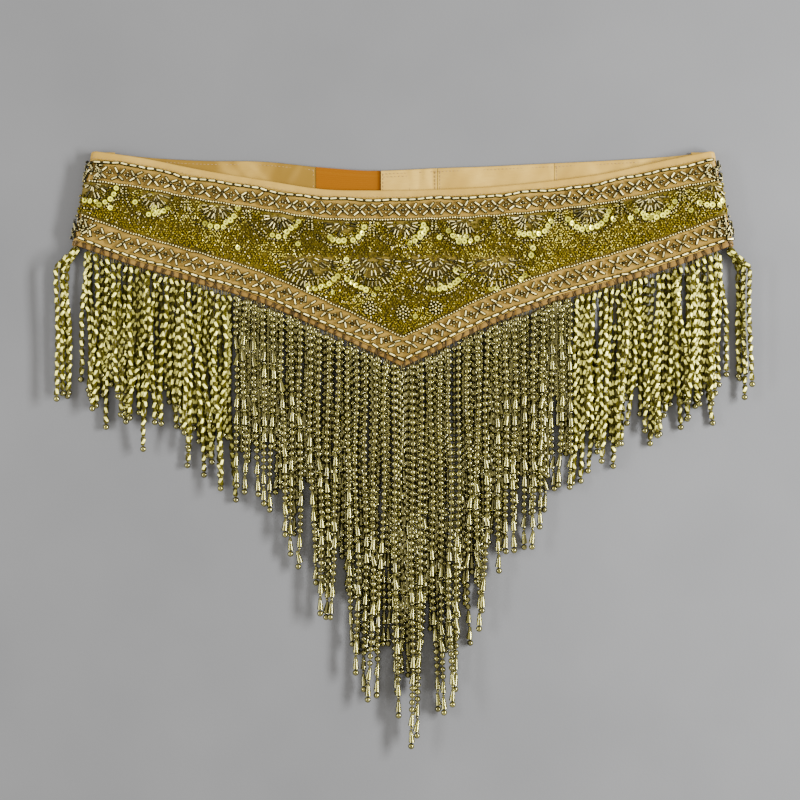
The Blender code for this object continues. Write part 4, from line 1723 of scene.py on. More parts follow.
@dataclass
class BackBand:
    """The back band: satin lengths, the ribbed elastic and the stitched tab."""

    form: BeltForm
    finishes: Finishes
    rib_pitch: float = 1.3
    rib_height: float = 0.1
    edge_roll: float = 0.8
    crease_gain: float = 1.05
    elastic_line: float = 3.0
    stitch_pitch: float = 2.4
    stitch_row: float = 2.2
    stitch_size: float = 0.5
    satin_rows: int = 30
    stitched_from: tuple[float, ...] = (-190.0, -12.8, 23.5, 98.5)
    stitched_to: tuple[float, ...] = (-57.5, 20.8, 96.0, 190.0)
    stitched_seams: tuple[float, ...] = (-57.6, -12.9, 4.4, 20.6, 23.7, 95.7, 98.6)

    def lengths(self) -> tuple[BandLength, ...]:
        """The lengths from the left side seam to the right one.

        Returns:
            The lengths in their order.
        """
        seam = self.seam_x(1, np.array(0.0))
        return (
            BandLength("back_band_left", "back_left_satin", -float(seam), -56.2, 1.6, 100, 1.05),
            BandLength("elastic_insert", "elastic_ribbed", -55.9, -14.4, 1.4, 16),
            BandLength("closure_tab", "closure_tab_satin", -14.1, 22.0, 1.6, 60, -0.1),
            BandLength("back_band_middle", "back_middle_satin", 22.3, 97.0, 1.6, 60, 0.08),
            BandLength("back_band_right", "back_right_satin", 97.3, float(seam), 1.6, 84, 0.22),
        )

    def seam_x(self, side: int, drop: Array) -> Array:
        """X of the side seam, where the front's folded edge meets the band.

        Args:
            side: -1 for the left side, 1 for the right.
            drop: below the top corner.

        Returns:
            X at each drop.
        """
        form = self.form
        ends = STATIONS[0]
        share = np.clip((drop - ends.waist) / (ends.hem - ends.waist), 0, 1)
        return side * (form.fold_at(share) - form.wrap - form.gap)

    def creased(self, x: Array, drop: Array, share: Array) -> Array:
        """Height of the soft creases, which fade out under the front.

        Args:
            x, drop: from the middle line, and below the top corner.
            share: 0 at the band's upper edge, 1 at its lower one.

        Returns:
            Heights over the flat cloth.
        """
        top = drop - share * self.form.band_depth
        height = np.zeros(np.shape(x))
        for crease in CREASES:
            line = crease.x + crease.lean * (drop - top - 8)
            height = height + crease.height * np.exp(-(((x - line) / crease.width) ** 2))
        front_edge = self.form.drop_of(Edge.WAIST, self.form.waist_across(x))
        shown = 1 - ease((drop - front_edge + 2.5) / 4)
        soft = 0.16 * np.sin(x * 0.17 + 0.5 * np.sin(drop * 0.21)) + 0.06 * np.sin(x * 0.61 + drop * 0.3)
        return (self.crease_gain * height + soft) * shown

    def grid(self, piece: BandLength, share: Array) -> tuple[Array, Array]:
        """x and drop of a length's grid.

        Args:
            piece: the length.
            share: 0 at the band's upper edge, 1 at its lower one.

        Returns:
            x and drop, row by row.
        """
        x = piece.start + (piece.end - piece.start) * np.linspace(0, 1, piece.columns + 1)
        x = np.tile(x, (len(share), 1))
        drop = self.form.band_top(x) + self.form.band_depth * share[:, None]
        if piece.node == "back_band_left":
            x[:, 0] = self.seam_x(-1, drop[:, 0])
        if piece.node == "back_band_right":
            x[:, -1] = self.seam_x(1, drop[:, -1])
        return x, drop

    def build_length(self, piece: BandLength) -> Piece:
        """Makes one length in place of its part of the frame.

        Args:
            piece: the length.

        Returns:
            The piece.
        """
        ribbed = piece.node == "elastic_insert"
        depth = self.form.band_depth
        if ribbed:
            share = np.linspace(0, 1, round(depth / self.rib_pitch) * 4 + 1)
        else:
            edge = np.array([0.0, 0.1, 0.3, 0.6, 1.0]) / depth
            share = np.concatenate([edge, np.linspace(1.4 / depth, 1, self.satin_rows)])
        x, drop = self.grid(piece, share)
        down = np.broadcast_to(share[:, None] * depth, x.shape)
        if ribbed:
            rib = 0.5 + 0.5 * np.cos(TAU * down / self.rib_pitch)
            pale = np.exp(-(((down - self.elastic_line) / 0.5) ** 2))
            relief = self.rib_height * (rib - 1) + 0.12 * pale
            shadow_at_tab = np.exp(-(piece.end - x) / 1.1)
            # The rib numbers give painted shade in the grooves and a paler line along the elastic; deep gives
            # a painted shadow by the tab.
            attributes = {"rib": np.clip(0.25 + 0.6 * rib + 0.8 * pale, 0, 1), "deep": np.clip(shadow_at_tab, 0, 1)}
            dressing = self.finishes.elastic
        else:
            edge = rolled(down, self.edge_roll)
            creased = self.creased(x, drop, share[:, None])
            groove = np.exp(-(((down - self.stitch_row) / 0.35) ** 2))
            relief = creased * edge - piece.wall * 0.5 * (1 - edge) - 0.12 * groove
            uneven = 0.5 + 0.5 * np.sin(x * 0.055 + 0.9) * np.sin(x * 0.023 + drop * 0.05)
            # Darker in patches by the length's darker value; painted shade deepest in the crease valleys,
            # lighter on the ridges.
            attributes = {"painted_shade": np.clip(piece.darker * (0.4 + uneven) + 0.12 - 0.75 * creased, 0, 1)}
            dressing = self.finishes.band
        at = self.form.world(x, drop, np.full(x.shape, piece.wall / 2))
        out = np.broadcast_to(UPRIGHT, at.shape)
        half = piece.wall / 2
        made = cloth_shell(piece.name, at, out, -half, half + relief, dressing, attributes)
        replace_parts(made, piece.node)
        return made

    def build_stitches(self) -> Piece:
        """Makes the lines of stitches: along the turned waist edge, round the tab and down the seams.

        Returns:
            All of them as one piece.
        """
        form, pitch = self.form, self.stitch_pitch
        sewn = Beadwork()
        rng = np.random.default_rng(5)

        def line(x: Array, down: Numbers, along: tuple[float, float, float]) -> None:
            """Adds stitches at distances below the waist edge, all in one direction.

            Args:
                x: from the middle line.
                down: distances below the waist edge.
                along: which way the stitches run.
            """
            at = form.world(x, form.band_top(x) + down, np.full(len(x), form.band_wall - 0.02))
            along = np.broadcast_to(np.array(along), at.shape)
            places = Places(at, along, np.broadcast_to(UPRIGHT, at.shape))
            turn, tone = rng.normal(0, 0.05, len(x)), rng.uniform(0, 1, len(x))
            sewn.add(STITCH, places.turned(turn), tone, self.stitch_size)

        for start, end in zip(self.stitched_from, self.stitched_to):
            line(np.arange(start, end, pitch), self.stitch_row, (1.0, 0.0, 0.0))
        down = np.arange(3.0, form.band_depth - 2, pitch)
        for seam in self.stitched_seams:
            line(np.full(len(down), seam), down, (0.0, 1.0, 0.0))
        line(np.arange(-12.0, 4.0, pitch), 4.2, (1.0, 0.0, 0.0))
        return sewn.make("back_stitches", self.finishes.seam)

    def build(self) -> list[Piece]:
        """Makes the whole band."""
        return [*(self.build_length(piece) for piece in self.lengths()), self.build_stitches()]


# ---- the fringe


class Group(Enum):
    """The three fringes, each with its own hem strip."""

    LEFT = "left"
    CENTRE = "centre"
    RIGHT = "right"


class Strand(NamedTuple):
    """One strand of beads: its root along the hem and how it lies."""

    group: Group
    reach: float
    length: float
    flare: float
    lean: float
    sway: float
    phase: float
    order: int


# How far down the centre fringe reaches: (x, drop).
TIPS = (
    (-109.4, 219.5), (-90.2, 225.3), (-71.7, 261.1), (-52.5, 298.9), (-31.4, 329.6),
    (-22.4, 355.2), (5.8, 384.0), (30.1, 359.7), (39.0, 326.4), (50.6, 304.0),
    (67.2, 259.8), (85.1, 256.0), (97.9, 218.9), (108.2, 218.2),
)

# Where neighbouring strands drift together, and how strongly: (x, pull).
LOCKS = (
    (-213.0, 0.5), (-196.0, 0.4), (-179.0, 0.5), (-160.0, 0.4), (-141.0, 0.5), (-122.0, 0.4),
    (-103.0, 0.25), (-88.0, 0.25), (-72.0, 0.3), (-52.0, 0.35), (-27.0, 0.35), (5.0, 0.35),
    (29.0, 0.35), (49.0, 0.3), (66.0, 0.25), (84.0, 0.25), (102.0, 0.25), (122.0, 0.4),
    (138.0, 0.5), (160.0, 0.5), (183.0, 0.4), (199.0, 0.5), (215.0, 0.6),
)


@dataclass
class FringeRoutes:
    """How each strand of the fringe lies, the same as in the frame's solids."""

    form: BeltForm
    centre_pitch: float = 2.98
    centre_reach: float = 108.9
    side_pitch: float = 3.7
    fold_strands: int = 3
    bare: float = 7.0
    rest: float = 2.2
    nestle: float = 3.7
    nestle_step: float = 2.0
    first_bend: float = 9.0
    stretch: float = 36.0
    sway_wave: float = 130.0
    side_length: float = 100.0
    flare: float = 16.0
    outermost: float = 9.5
    left_gain: float = 26.0
    right_gain: float = 12.0
    gap_open: float = 2.1
    lie_over: float = 9.0
    line_points: int = 60
    first_across: int = 3
    across_each: int = 7
    over: float = 6.3
    lowest: float = 2.06

    def hem_point(self, reach: float) -> Array:
        """(x, drop, z) on the hem's edge."""
        at = self.form.on_front(np.array([reach]), np.array([1.0]))[0][0]
        return np.array([at[0] - self.form.middle, self.form.top - at[1], at[2]])

    def lean_to_lock(self, x: float) -> float:
        """Sideways drift towards the nearest lock."""
        lock_x, pull = min(LOCKS, key=lambda lock: abs(lock[0] - x))
        return pull * (lock_x - x)

    def centre_strands(self, rng: Random) -> list[Strand]:
        """Two rows of strands along the V, the back row under the front one.

        Args:
            rng: gives the unevenness.

        Returns:
            The strands.
        """
        tips_x, tips_drop = zip(*TIPS)
        strands = []
        for side in (-1, 1):
            for k in range(1, int(self.centre_reach / self.centre_pitch) + 1):
                reach = side * k * self.centre_pitch
                x, drop, _ = self.hem_point(reach)
                back_row = k % 2
                lean = self.lean_to_lock(x) + rng.uniform(-1.2, 1.2)
                short = rng.uniform(8, 46) if back_row else rng.uniform(0, 4) * min(abs(lean), 5)
                length = max(float(np.interp(x + lean, tips_x, tips_drop)) - short - drop, 60.0)
                sway, phase = rng.uniform(0.3, 1.2), rng.uniform(0, 6.3)
                order = 2 * (1 - back_row) + k // 2 % 2
                strands.append(Strand(Group.CENTRE, reach, length, 0.0, lean, sway, phase, order))
        return strands

    def side_strands(self, side: int, rng: Random) -> list[Strand]:
        """One row of strands along the hem, and a few that swing out from the fold.

        Args:
            side: -1 for the left side, 1 for the right.
            rng: gives the unevenness.

        Returns:
            The strands.
        """
        form = self.form
        group, gain = (Group.LEFT, self.left_gain) if side < 0 else (Group.RIGHT, self.right_gain)
        strands = []
        count = int((form.hem_fold - self.bare - self.centre_reach) / self.side_pitch)
        for k in range(count):
            reach = side * (self.centre_reach + form.gap + self.side_pitch * (k + 0.6))
            x = self.hem_point(reach)[0]
            lean = self.lean_to_lock(x) + rng.uniform(-2.5, 2.5)
            length = self.side_length + gain * (1 - k / count) ** 2 + rng.uniform(-16, 12)
            sway, phase = rng.uniform(0.8, 2.4), rng.uniform(0, 6.3)
            strands.append(Strand(group, reach, length, 0.0, lean, sway, phase, 1 + k % 3))
        for k in range(self.fold_strands):
            reach = side * (form.hem_fold + form.fold_length * (k + 0.5) / self.fold_strands)
            x = self.hem_point(reach)[0]
            flare = side * (form.hem_width / 2 + self.outermost * (1 - k / self.fold_strands)) - x
            length = self.side_length + rng.uniform(-20, 4)
            lean, sway, phase = rng.uniform(-1.5, 1.5), rng.uniform(0.3, 1.0), rng.uniform(0, 6.3)
            strands.append(Strand(group, reach, length, flare, lean, sway, phase, -k))
        return strands

    def course(self, strand: Strand, down: Array) -> tuple[Array, Array]:
        """x and drop of a strand at distances below its root.

        Args:
            strand: the strand.
            down: distances below its root.

        Returns:
            x and drop.
        """
        x, drop, _ = self.hem_point(strand.reach)
        sway = strand.sway * np.minimum(down / self.stretch, 1.0)
        sway = sway * np.sin(TAU * down / self.sway_wave + strand.phase)
        aside = strand.lean * (down / strand.length) ** 2 + strand.flare * ease(down / self.flare)
        return x + aside + sway, drop + down

    def bends_of(self, strand: Strand) -> Array:
        """Distances down a strand to its bends, its root first."""
        count = max(2, round((strand.length - self.first_bend) / self.stretch))
        return np.concatenate([[0.0], np.linspace(self.first_bend, strand.length, count + 1)])

    def between(self, points: Array, spacing: float) -> tuple[Array, Array]:
        """Points along a polyline at an even spacing, and each one's place among the bends.

        Args:
            points: the polyline's corners.
            spacing: how far apart they are.

        Returns:
            The points, and their places.
        """
        at = [0.0]
        for k, step in enumerate(np.abs(np.diff(points[:, 1]))):
            parts = max(1, round(step / spacing))
            at += [k + (n + 1) / parts for n in range(parts)]
        places = np.array(at)
        knots = np.arange(len(points))
        return np.stack([np.interp(places, knots, points[:, c]) for c in range(3)], axis=1), places

    @cached_property
    def laid(self) -> dict[Strand, Array]:
        """Each strand's bends, each laid on the strands that went down before it.

        Returns:
            The bends of each strand as (x, drop, z).
        """
        rng = np.random.default_rng(7)
        strands = self.centre_strands(rng) + self.side_strands(-1, rng) + self.side_strands(1, rng)
        laid: dict[Strand, Array] = {}
        down = np.empty((0, 3))
        for strand in sorted(strands, key=lambda each: each.order):
            x, drop = self.course(strand, self.bends_of(strand))
            points = np.stack([x, drop, np.full(len(x), self.rest)], axis=1)
            points[0, 2] = self.hem_point(strand.reach)[2]
            fine, at = self.between(points, self.nestle_step)
            needed = np.full(len(fine), self.rest)
            if len(down):
                away = np.hypot(fine[:, None, 0] - down[None, :, 0], fine[:, None, 1] - down[None, :, 1])
                lift = np.sqrt(np.maximum(self.nestle**2 - away**2, 0.0))
                over = np.where(away < self.nestle, down[None, :, 2] + lift, self.rest)
                needed = np.maximum(needed, over.max(axis=1))
            for k in range(1, len(points)):
                near = (at >= k - 1) & (at <= k + 1)
                points[k, 2] = needed[near].max()
            laid[strand] = points
            down = np.concatenate([down, self.between(points, self.nestle_step)[0]])
        return laid

    def lying_down(self, down: Array, start: float, rest: float) -> Array:
        """Heights of a strand that leaves the hem at one height and soon lies at another."""
        return rest + (start - rest) * (1 - ease(down / self.lie_over))

    def between_strands(self, group: Group, rng: Random) -> list[Array]:
        """Lines of the strands that lie lowest, in the gaps between neighbours.

        Args:
            group: the fringe.
            rng: gives each one its own length and ripple.

        Returns:
            A line in the frame's axes for each strand.
        """
        strands = sorted((each for each in self.laid if each.group is group), key=lambda each: each.reach)
        lines = []
        for left, right in pairwise(strands):
            full = min(left.length, right.length)
            down = full * np.array([0.35, 0.6, 0.85, 1.0])
            apart = float(np.abs(self.course(right, down)[0] - self.course(left, down)[0]).mean())
            if apart < self.gap_open or left.flare != right.flare:
                continue
            parts = 2 if apart > 2.2 * self.gap_open else 1
            for k in range(parts):
                length = full * rng.uniform(0.74, 0.97)
                down = np.linspace(0.0, length, round(length / 1.5))
                (x_left, drop_left), (x_right, drop_right) = self.course(left, down), self.course(right, down)
                share = (k + 1) / (parts + 1)
                x = x_left + share * (x_right - x_left) + 0.5 * np.sin(down / 9.0 + rng.uniform(0, 6.3))
                drop = drop_left + share * (drop_right - drop_left)
                start = max(self.hem_point(left.reach)[2] - 0.8, self.lowest)
                lines.append(self.form.world(x, drop, self.lying_down(down, start, self.lowest)))
        return lines

    def beside_folds(self, group: Group) -> list[Array]:
        """Lines of the strands on both sides of the bare place at a fold, where the fringe is doubled.

        Args:
            group: the fringe.

        Returns:
            A line in the frame's axes for each.
        """
        strands = [each for each in self.laid if each.group is group]
        outermost = max((each for each in strands if not each.flare), key=lambda each: abs(each.reach))
        innermost = min((each for each in strands if each.flare), key=lambda each: abs(each.reach))
        outward = 1.0 if group is Group.RIGHT else -1.0
        lines = []
        # Each one's neighbour, its share of that one's length, and how far aside it starts and spreads.
        beside = (
            (outermost, 0.94, 2.6, 0.0),
            (outermost, 0.87, 1.0, 7.0),
            (innermost, 0.91, -2.8, 0.0),
            (innermost, 0.96, -1.2, -5.5),
        )
        for strand, share, aside, spread in beside:
            down = np.linspace(0.0, strand.length * share, self.line_points)
            x, drop = self.course(strand, down)
            x = x + outward * (aside * ease(down / 8.0 + 0.3) + spread * ease(down / 55.0))
            start = self.hem_point(strand.reach)[2]
            lines.append(self.form.world(x, drop, self.lying_down(down, start, self.rest)))
        return lines

    def across_others(self, group: Group, rng: Random) -> list[Array]:
        """Lines of the few strands that slant over their neighbours.

        Args:
            group: the fringe.
            rng: gives the unevenness.

        Returns:
            A line in the frame's axes for each.
        """
        strands = sorted((s for s in self.laid if s.group is group and not s.flare), key=lambda s: s.reach)
        lines = []
        for strand in strands[self.first_across : -self.first_across : self.across_each]:
            down = np.linspace(0.0, strand.length * rng.uniform(0.8, 0.95), self.line_points)
            x, drop = self.course(strand, down)
            aside = rng.choice([-1, 1]) * rng.uniform(8, 15)
            x = x + aside * ease(down / strand.length)
            start = self.hem_point(strand.reach)[2]
            z = start + (self.over - start) * ease(down / 12.0)
            lines.append(self.form.world(x, drop, z))
        return lines

    def path(self, strand: Strand, step: float = 1.5) -> Array:
        """The strand's line in the frame's axes, from its root to its tip.

        Args:
            strand: the strand.
            step: about how far apart they are.

        Returns:
            Its points.
        """
        down = np.linspace(0.0, strand.length, max(8, round(strand.length / step)))
        x, drop = self.course(strand, down)
        z = np.interp(down, self.bends_of(strand), self.laid[strand][:, 2])
        return self.form.world(x, drop, np.maximum(z, self.lowest * ease(down / 1.5 + 0.3)))


class Strung(Enum):
    """What is strung on the fringe, with the length of string that each takes up."""

    BALL = 4.1
    DROP = 8.4
    SPACER = 2.1
    ROUND = 4.5
    TUBE = 5.9


# The bead for each, on a strand in sight and on one that lies under the others.
SHAPES = {
    Strung.BALL: (END_BALL, END_BALL),
    Strung.DROP: (DROP, PLAIN_DROP),
    Strung.SPACER: (SPACER, SPACER),
    Strung.ROUND: (ROUND_BEAD, PLAIN_ROUND),
}


class Line(NamedTuple):
    """Where a strand lies, the painted light on its beads and whether it lies out of sight under the others.
    """

    path: Array
    bright: float
    under: bool = False
    bare: float = 0.0


def places_on(path: Array, distances: Array) -> Places:
    """Places along a line, with along towards its end and out as near to upright as can be.

    Args:
        path: the line, in the frame's axes.
        distances: distances from the line's start.

    Returns:
        The places.
    """
    steps = np.linalg.norm(np.diff(path, axis=0), axis=1)
    length = np.concatenate([[0.0], np.cumsum(steps)])
    at, ahead, behind = (
        np.stack([np.interp(distances + off, length, path[:, c]) for c in range(3)], axis=1)
        for off in (0.0, 1.0, -1.0)
    )
    along = unit(ahead - behind)
    return Places(at, along, unit(UPRIGHT - along * along[:, 2:3]))


def length_of(path: Array) -> float:
    """A line's length."""
    return float(np.linalg.norm(np.diff(path, axis=0), axis=1).sum())


def thread_shape(path: Array, radius: float, sides: int = 4) -> BeadShape:
    """A thin closed tube of thread along a line.

    Args:
        path: the line, in the frame's axes.
        radius: of the thread.
        sides: points in each ring.

    Returns:
        The thread, in the same axes.
    """
    places = places_on(path, np.linspace(0, length_of(path), len(path)))
    side = np.cross(places.out, places.along)
    angles = even(sides)[None, :, None]
    ring = np.cos(angles) * side[:, None, :] + np.sin(angles) * places.out[:, None, :]
    points = (path[:, None, :] + radius * ring).reshape(-1, 3)
    return BeadShape(points, tube_faces(len(path), sides))


@dataclass
class Fringe:
    """One fringe: its satin hem strip, its threads and all that is strung on them."""

    form: BeltForm
    finishes: Finishes
    routes: FringeRoutes
    group: Group
    bare_root: tuple[float, float] = (0.1, 3.4)
    bare_under: tuple[float, float] = (2.0, 26.0)
    strip_rows: tuple[float, ...] = (2.7, 2.1, 1.5, 0.9, 0.5, 0.22, 0.06, 0.0)
    strip_columns: float = 1.1
    strip_roll: float = 1.0
    strip_puff: float = 0.18
    pinch: float = 0.35
    stitch_pitch: float = 5.5
    thread_radius: float = 0.3
    thread_step: int = 4
    counter_share: float = 0.4

    def span(self) -> tuple[float, float]:
        """Where the hem strip starts and ends, along the cloth.

        Returns:
            Both reaches.
        """
        reach, gap, seam = self.routes.centre_reach, self.form.gap, self.form.side_seam
        return {
            Group.LEFT: (-seam, -reach - gap),
            Group.CENTRE: (-reach, reach),
            Group.RIGHT: (reach + gap, seam),
        }[self.group]

    def build_strip(self) -> Piece:
        """Makes the satin strip, rolled over at the hem and pinched at each stitch.

        Returns:
            The strip.
        """
        form = self.form
        start, end = self.span()
        reach = np.linspace(start, end, round((end - start) / self.strip_columns) + 1)
        if self.group is Group.CENTRE:
            reach = np.unique(np.concatenate([reach, [0.0]]))
        distance = np.array([form.hem_strip, *self.strip_rows])
        reach, share, up = form.grid_along(Edge.HEM, reach, distance)
        at, out = form.on_front(reach, share)
        edge = rolled(up, self.strip_roll)
        pinched = np.cos(math.pi * reach / self.stitch_pitch) ** 10
        half = form.wall / 2 * edge
        outer = half * (1 - self.pinch * pinched) + self.strip_puff * (1 - pinched) * edge
        name = f"hem_strip_{self.group.value}"
        # Painted shade over the strip, deepest where each stitch pinches it.
        painted_shade = {"painted_shade": np.clip(0.25 + pinched, 0, 1)}
        strip = cloth_shell(name, at, out, -half, outer, self.finishes.hem, painted_shade)
        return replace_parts(strip, f"fringe_{self.group.value}")

    def build_stitches(self) -> Piece:
        """Makes the dark stitches that hold the strands to the hem.

        Returns:
            All of them as one piece.
        """
        start, end = self.span()
        rng = np.random.default_rng(11)
        first = math.ceil((start + 0.8) / self.stitch_pitch) * self.stitch_pitch
        reach = np.arange(first, end - 0.5, self.stitch_pitch)
        reach = reach + rng.normal(0, 0.6, len(reach))
        sewn = Beadwork()
        for aside, distance in ((-0.7, 1.7), (-0.2, 1.4), (0.3, 1.9), (0.75, 1.6)):
            aside = aside + rng.normal(0, 0.55, len(reach))
            up = distance + rng.normal(0, 0.2, len(reach))
            places = self.form.laid_along(Edge.HEM, reach + aside, up, -0.12)
            places = places.turned(math.pi / 2 + rng.normal(0, 0.45, len(reach)))
            places = places.kept(rng.uniform(0, 1, len(reach)) > 0.2)
            count = len(places.at)
            sewn.add(STITCH, places, rng.uniform(0, 1, count), rng.uniform(0.9, 1.5, count))
        return sewn.make(f"hem_stitches_{self.group.value}", self.finishes.stitches)

    def stringing(self, length: float, rng: Random) -> list[tuple[Strung, float]]:
        """What is strung on a strand, from its tip up.

        Args:
            length: the strand's length.
            rng: varies how many round beads lie between the drops.

        Returns:
            Each item with its distance from the root.
        """
        order: list[Strung] = [Strung.BALL]
        fill = Strung.TUBE
        if self.group is Group.CENTRE:
            fill = Strung.ROUND
            for _ in range(3):
                rounds = int(rng.integers(4, 6))
                order += [Strung.DROP, Strung.SPACER, Strung.DROP, *[Strung.ROUND] * rounds]
        small = [Strung.SPACER] * int(self.group is Group.CENTRE and rng.uniform() < 0.4)
        left = length - rng.uniform(*self.bare_root) - sum(item.value for item in [*order, *small])
        count = max(0, round(left / fill.value))
        slack = (left - count * fill.value) / (count + len(order))
        strung, used = [], 0.0
        for item in [*order, *[fill] * count, *small]:
            strung.append((item, length - used - item.value / 2))
            used += item.value + slack
        return strung

    def string_beads(self, heap: Beadwork, kind: Strung, line: Line, distances: Array, rng: Random) -> None:
        """Strings beads of one kind on a strand, at distances from its root.

        Args:
            heap: gets the beads.
            kind: what is strung.
            line: the strand.
            distances: how far down it they are.
            rng: gives the unevenness.
        """
        count = len(distances)
        tube = kind is Strung.TUBE
        loose = 0.10 if tube or kind is Strung.DROP else 0.05
        places = places_on(line.path, distances).turned(rng.normal(0, loose, count))
        places = places.tilted(rng.normal(0, 0.4, count) if tube else rng.uniform(0, TAU, count))
        # Each bead's tone is scaled by its strand's painted light.
        tone = line.bright * np.clip(rng.normal(0.9 if tube else 0.5, 0.2, count), 0, 1)
        counter = rng.uniform(0, 1, count) < self.counter_share
        if tube:
            heap.add(COUNTER_TUBE, places.kept(counter), tone[counter])
            heap.add(TWISTED_TUBE, places.kept(~counter), tone[~counter])
        else:
            heap.add(SHAPES[kind][line.under], places, tone)

    def build_strands(self) -> list[Piece]:
        """Makes the threads and everything that is strung on them.

        Returns:
            The threads, then each kind of bead.
        """
        rng = np.random.default_rng({Group.LEFT: 51, Group.CENTRE: 52, Group.RIGHT: 53}[self.group])
        heaps = {key: Beadwork() for key in ("rounds_left", "rounds_right", "drops", "tubes")}
        threads = Beadwork()
        home = Places(np.zeros((1, 3)), np.array([[1.0, 0.0, 0.0]]), UPRIGHT[None, :])
        for line in self.lines(rng):
            threads.add(thread_shape(line.path[:: self.thread_step], self.thread_radius), home, 0.5)
            strung = self.stringing(length_of(line.path) - line.bare, rng)
            for kind in Strung:
                distances = np.array([at + line.bare for item, at in strung if item is kind])
                if len(distances):
                    self.string_beads(heaps[self.heap_of(kind, line.path)], kind, line, distances, rng)
        dressings = {"drops": self.finishes.drops, "tubes": self.finishes.tubes}
        made = [threads.make(f"fringe_{self.group.value}_threads", self.finishes.strings)]
        for key, heap in heaps.items():
            if heap.used:
                dressing = dressings.get(key, self.finishes.rounds)
                made.append(heap.make(f"fringe_{self.group.value}_{key}", dressing))
        return made

    def lines(self, rng: Random) -> list[Line]:
        """Each strand's line in the frame's axes.

        Args:
            rng: gives the unevenness.

        Returns:
            The lines, those in sight first.
        """
        routes = self.routes
        mains = [strand for strand in routes.laid if strand.group is self.group]
        fills = routes.between_strands(self.group, rng)
        if self.group is Group.CENTRE:
            # Painted shade: the back row is darker, and the strands under the others darker still.
            lines = [Line(routes.path(strand), 1.0 if strand.order > 1 else 0.45) for strand in mains]
            return lines + [Line(line, 0.2, True) for line in fills]
        # Painted light: most strands are painted with lit facets and the rest in shade, more of them lit on
        # the right where the light is stronger; strands under the others are painted in shade.
        lit_strands, under = (0.95, 0.85) if self.group is Group.RIGHT else (0.85, 0.5)
        lines = [Line(routes.path(strand), 1.0 if rng.uniform() < lit_strands else 0.4) for strand in mains]
        lines += [Line(line, under, True, rng.uniform(*self.bare_under)) for line in fills]
        doubled = routes.beside_folds(self.group) + routes.across_others(self.group, rng)
        return lines + [Line(line, 1.0) for line in doubled]

    def heap_of(self, kind: Strung, path: Array) -> str:
        """The piece that a strung item goes into.

        Args:
            kind: what is strung.
            path: the line, in the frame's axes.

        Returns:
            The end of the piece's name.
        """
        if kind is Strung.TUBE:
            return "tubes"
        if kind is Strung.DROP:
            return "drops"
        return "rounds_left" if path[0, 0] < self.form.middle else "rounds_right"

    def build(self) -> list[Piece]:
        """Makes the whole fringe."""
        return [self.build_strip(), self.build_stitches(), *self.build_strands()]


# ---- floor, light and camera


class Lamp(NamedTuple):
    """A soft lamp that hangs over the table: its place, its size and its power."""

    place: tuple[float, float, float]
    width: float
    length: float
    power: float


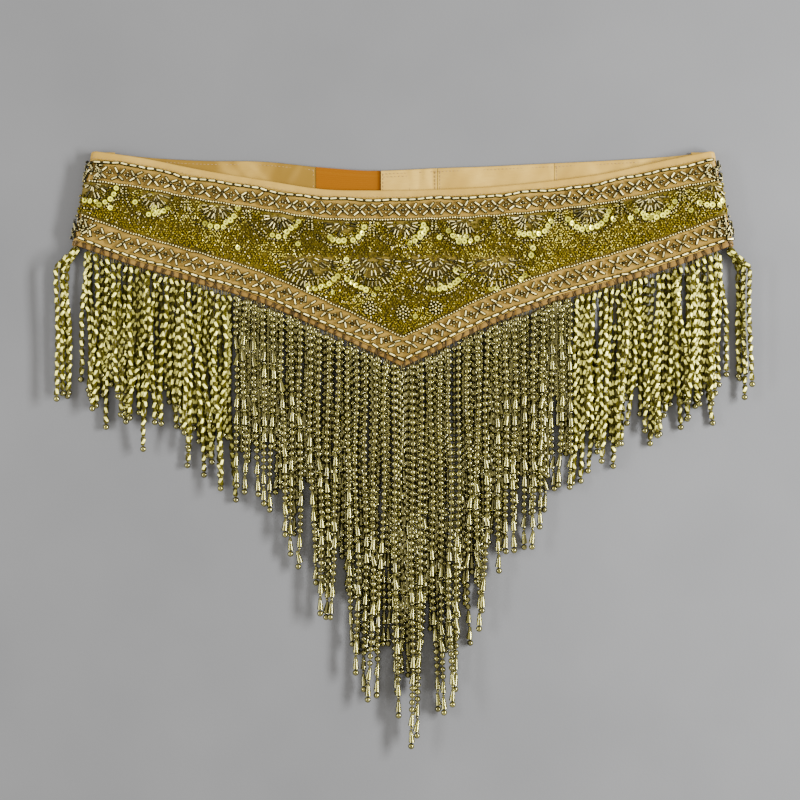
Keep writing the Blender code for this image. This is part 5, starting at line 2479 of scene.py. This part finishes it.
@dataclass
class Stage:
    """A plain pale floor, soft studio light and the camera straight above."""

    floor_size: float = 6.0
    floor_below: float = 0.0004
    camera_at: tuple[float, float, float] = (-0.00292, 0.0319, 1.2)
    lens: float = 84.0
    lamps: tuple[Lamp, ...] = (
        Lamp((-1.1, 0.08, 0.7), 0.88, 0.19, 18.5),
        Lamp((1.1, 0.08, 0.7), 0.88, 0.19, 74.0),
    )
    sky: Colour = (1.0, 0.95, 0.88)
    sky_strength: float = 1.5

    def build_floor(self) -> None:
        """Lays the floor just under the belt."""
        half = self.floor_size / 2
        mesh = bpy.data.meshes.new("floor")
        corners = [(-half, -half), (half, -half), (half, half), (-half, half)]
        mesh.from_pydata([(x, y, -self.floor_below) for x, y in corners], [], [(0, 1, 2, 3)])
        finish = FloorFinish("pale_floor", (0.087, 0.089, 0.093), (0.1, 0.102, 0.106))
        mesh.materials.append(finish.material())
        floor = bpy.data.objects.new("floor", mesh)
        bpy.context.scene.collection.objects.link(floor)

    def build_lamps(self) -> None:
        """Hangs the lamps and sets the sky."""
        for number, lamp in enumerate(self.lamps):
            light = bpy.data.lights.new(f"soft_lamp_{number}", "AREA")
            light.shape = "RECTANGLE"
            light.size = lamp.width
            light.size_y = lamp.length
            light.energy = lamp.power
            hung = bpy.data.objects.new(light.name, light)
            hung.location = lamp.place
            hung.rotation_mode = "QUATERNION"
            hung.rotation_quaternion = hung.location.to_track_quat("Z", "Y")
            bpy.context.scene.collection.objects.link(hung)
        world = bpy.data.worlds.new("studio")
        world.use_nodes = True
        sky = world.node_tree.nodes["Background"]
        sky.inputs["Color"].default_value = (*self.sky, 1.0)
        sky.inputs["Strength"].default_value = self.sky_strength
        bpy.context.scene.world = world

    def build_camera(self) -> None:
        """Sets the camera straight above, its top side towards the waist."""
        view = bpy.data.cameras.new("camera")
        view.lens = self.lens
        camera = bpy.data.objects.new("camera", view)
        camera.location = self.camera_at
        bpy.context.scene.collection.objects.link(camera)
        bpy.context.scene.camera = camera

    def build(self) -> None:
        """Builds the floor, the light and the camera."""
        self.build_floor()
        self.build_lamps()
        self.build_camera()


def report(pieces: list[Piece]) -> None:
    """Logs each piece with the triangles that it has.

    Args:
        pieces: what was made.
    """
    for piece in pieces:
        corners = np.empty(len(piece.data.polygons), np.int32)
        piece.data.polygons.foreach_get("loop_total", corners)
        log.info("%s: %d triangles", piece.name, int((corners - 2).sum()))


def main() -> None:
    """Builds the belt's looks and the stage round the frame."""
    logging.basicConfig(level=logging.INFO, format="%(message)s")
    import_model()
    form = BeltForm()
    finishes = Finishes()
    routes = FringeRoutes(form)
    waist = Rows(Edge.WAIST, form.waist_beads, form.waist_border, 36, 5.9, 0.75, "waist_border", 3)
    hem = Rows(Edge.HEM, form.hem_beads, form.hem_border, 38, 5.546, 0.45, "hem_border", 4)
    back = BackBand(form, finishes).build()
    report(back)
    panel = FrontPanel(form, finishes)
    front = panel.build()
    binding = WaistBinding(form, finishes).build()
    borders = [piece for rows in (waist, hem) for piece in BorderBeading(form, finishes, rows).build()]
    beading = BeadField(form, finishes).build()
    report([front, *binding, *borders, *beading])
    fringe = [piece for group in Group for piece in Fringe(form, finishes, routes, group).build()]
    report(fringe)
    Stage().build()


if __name__ == "__main__":
    main()
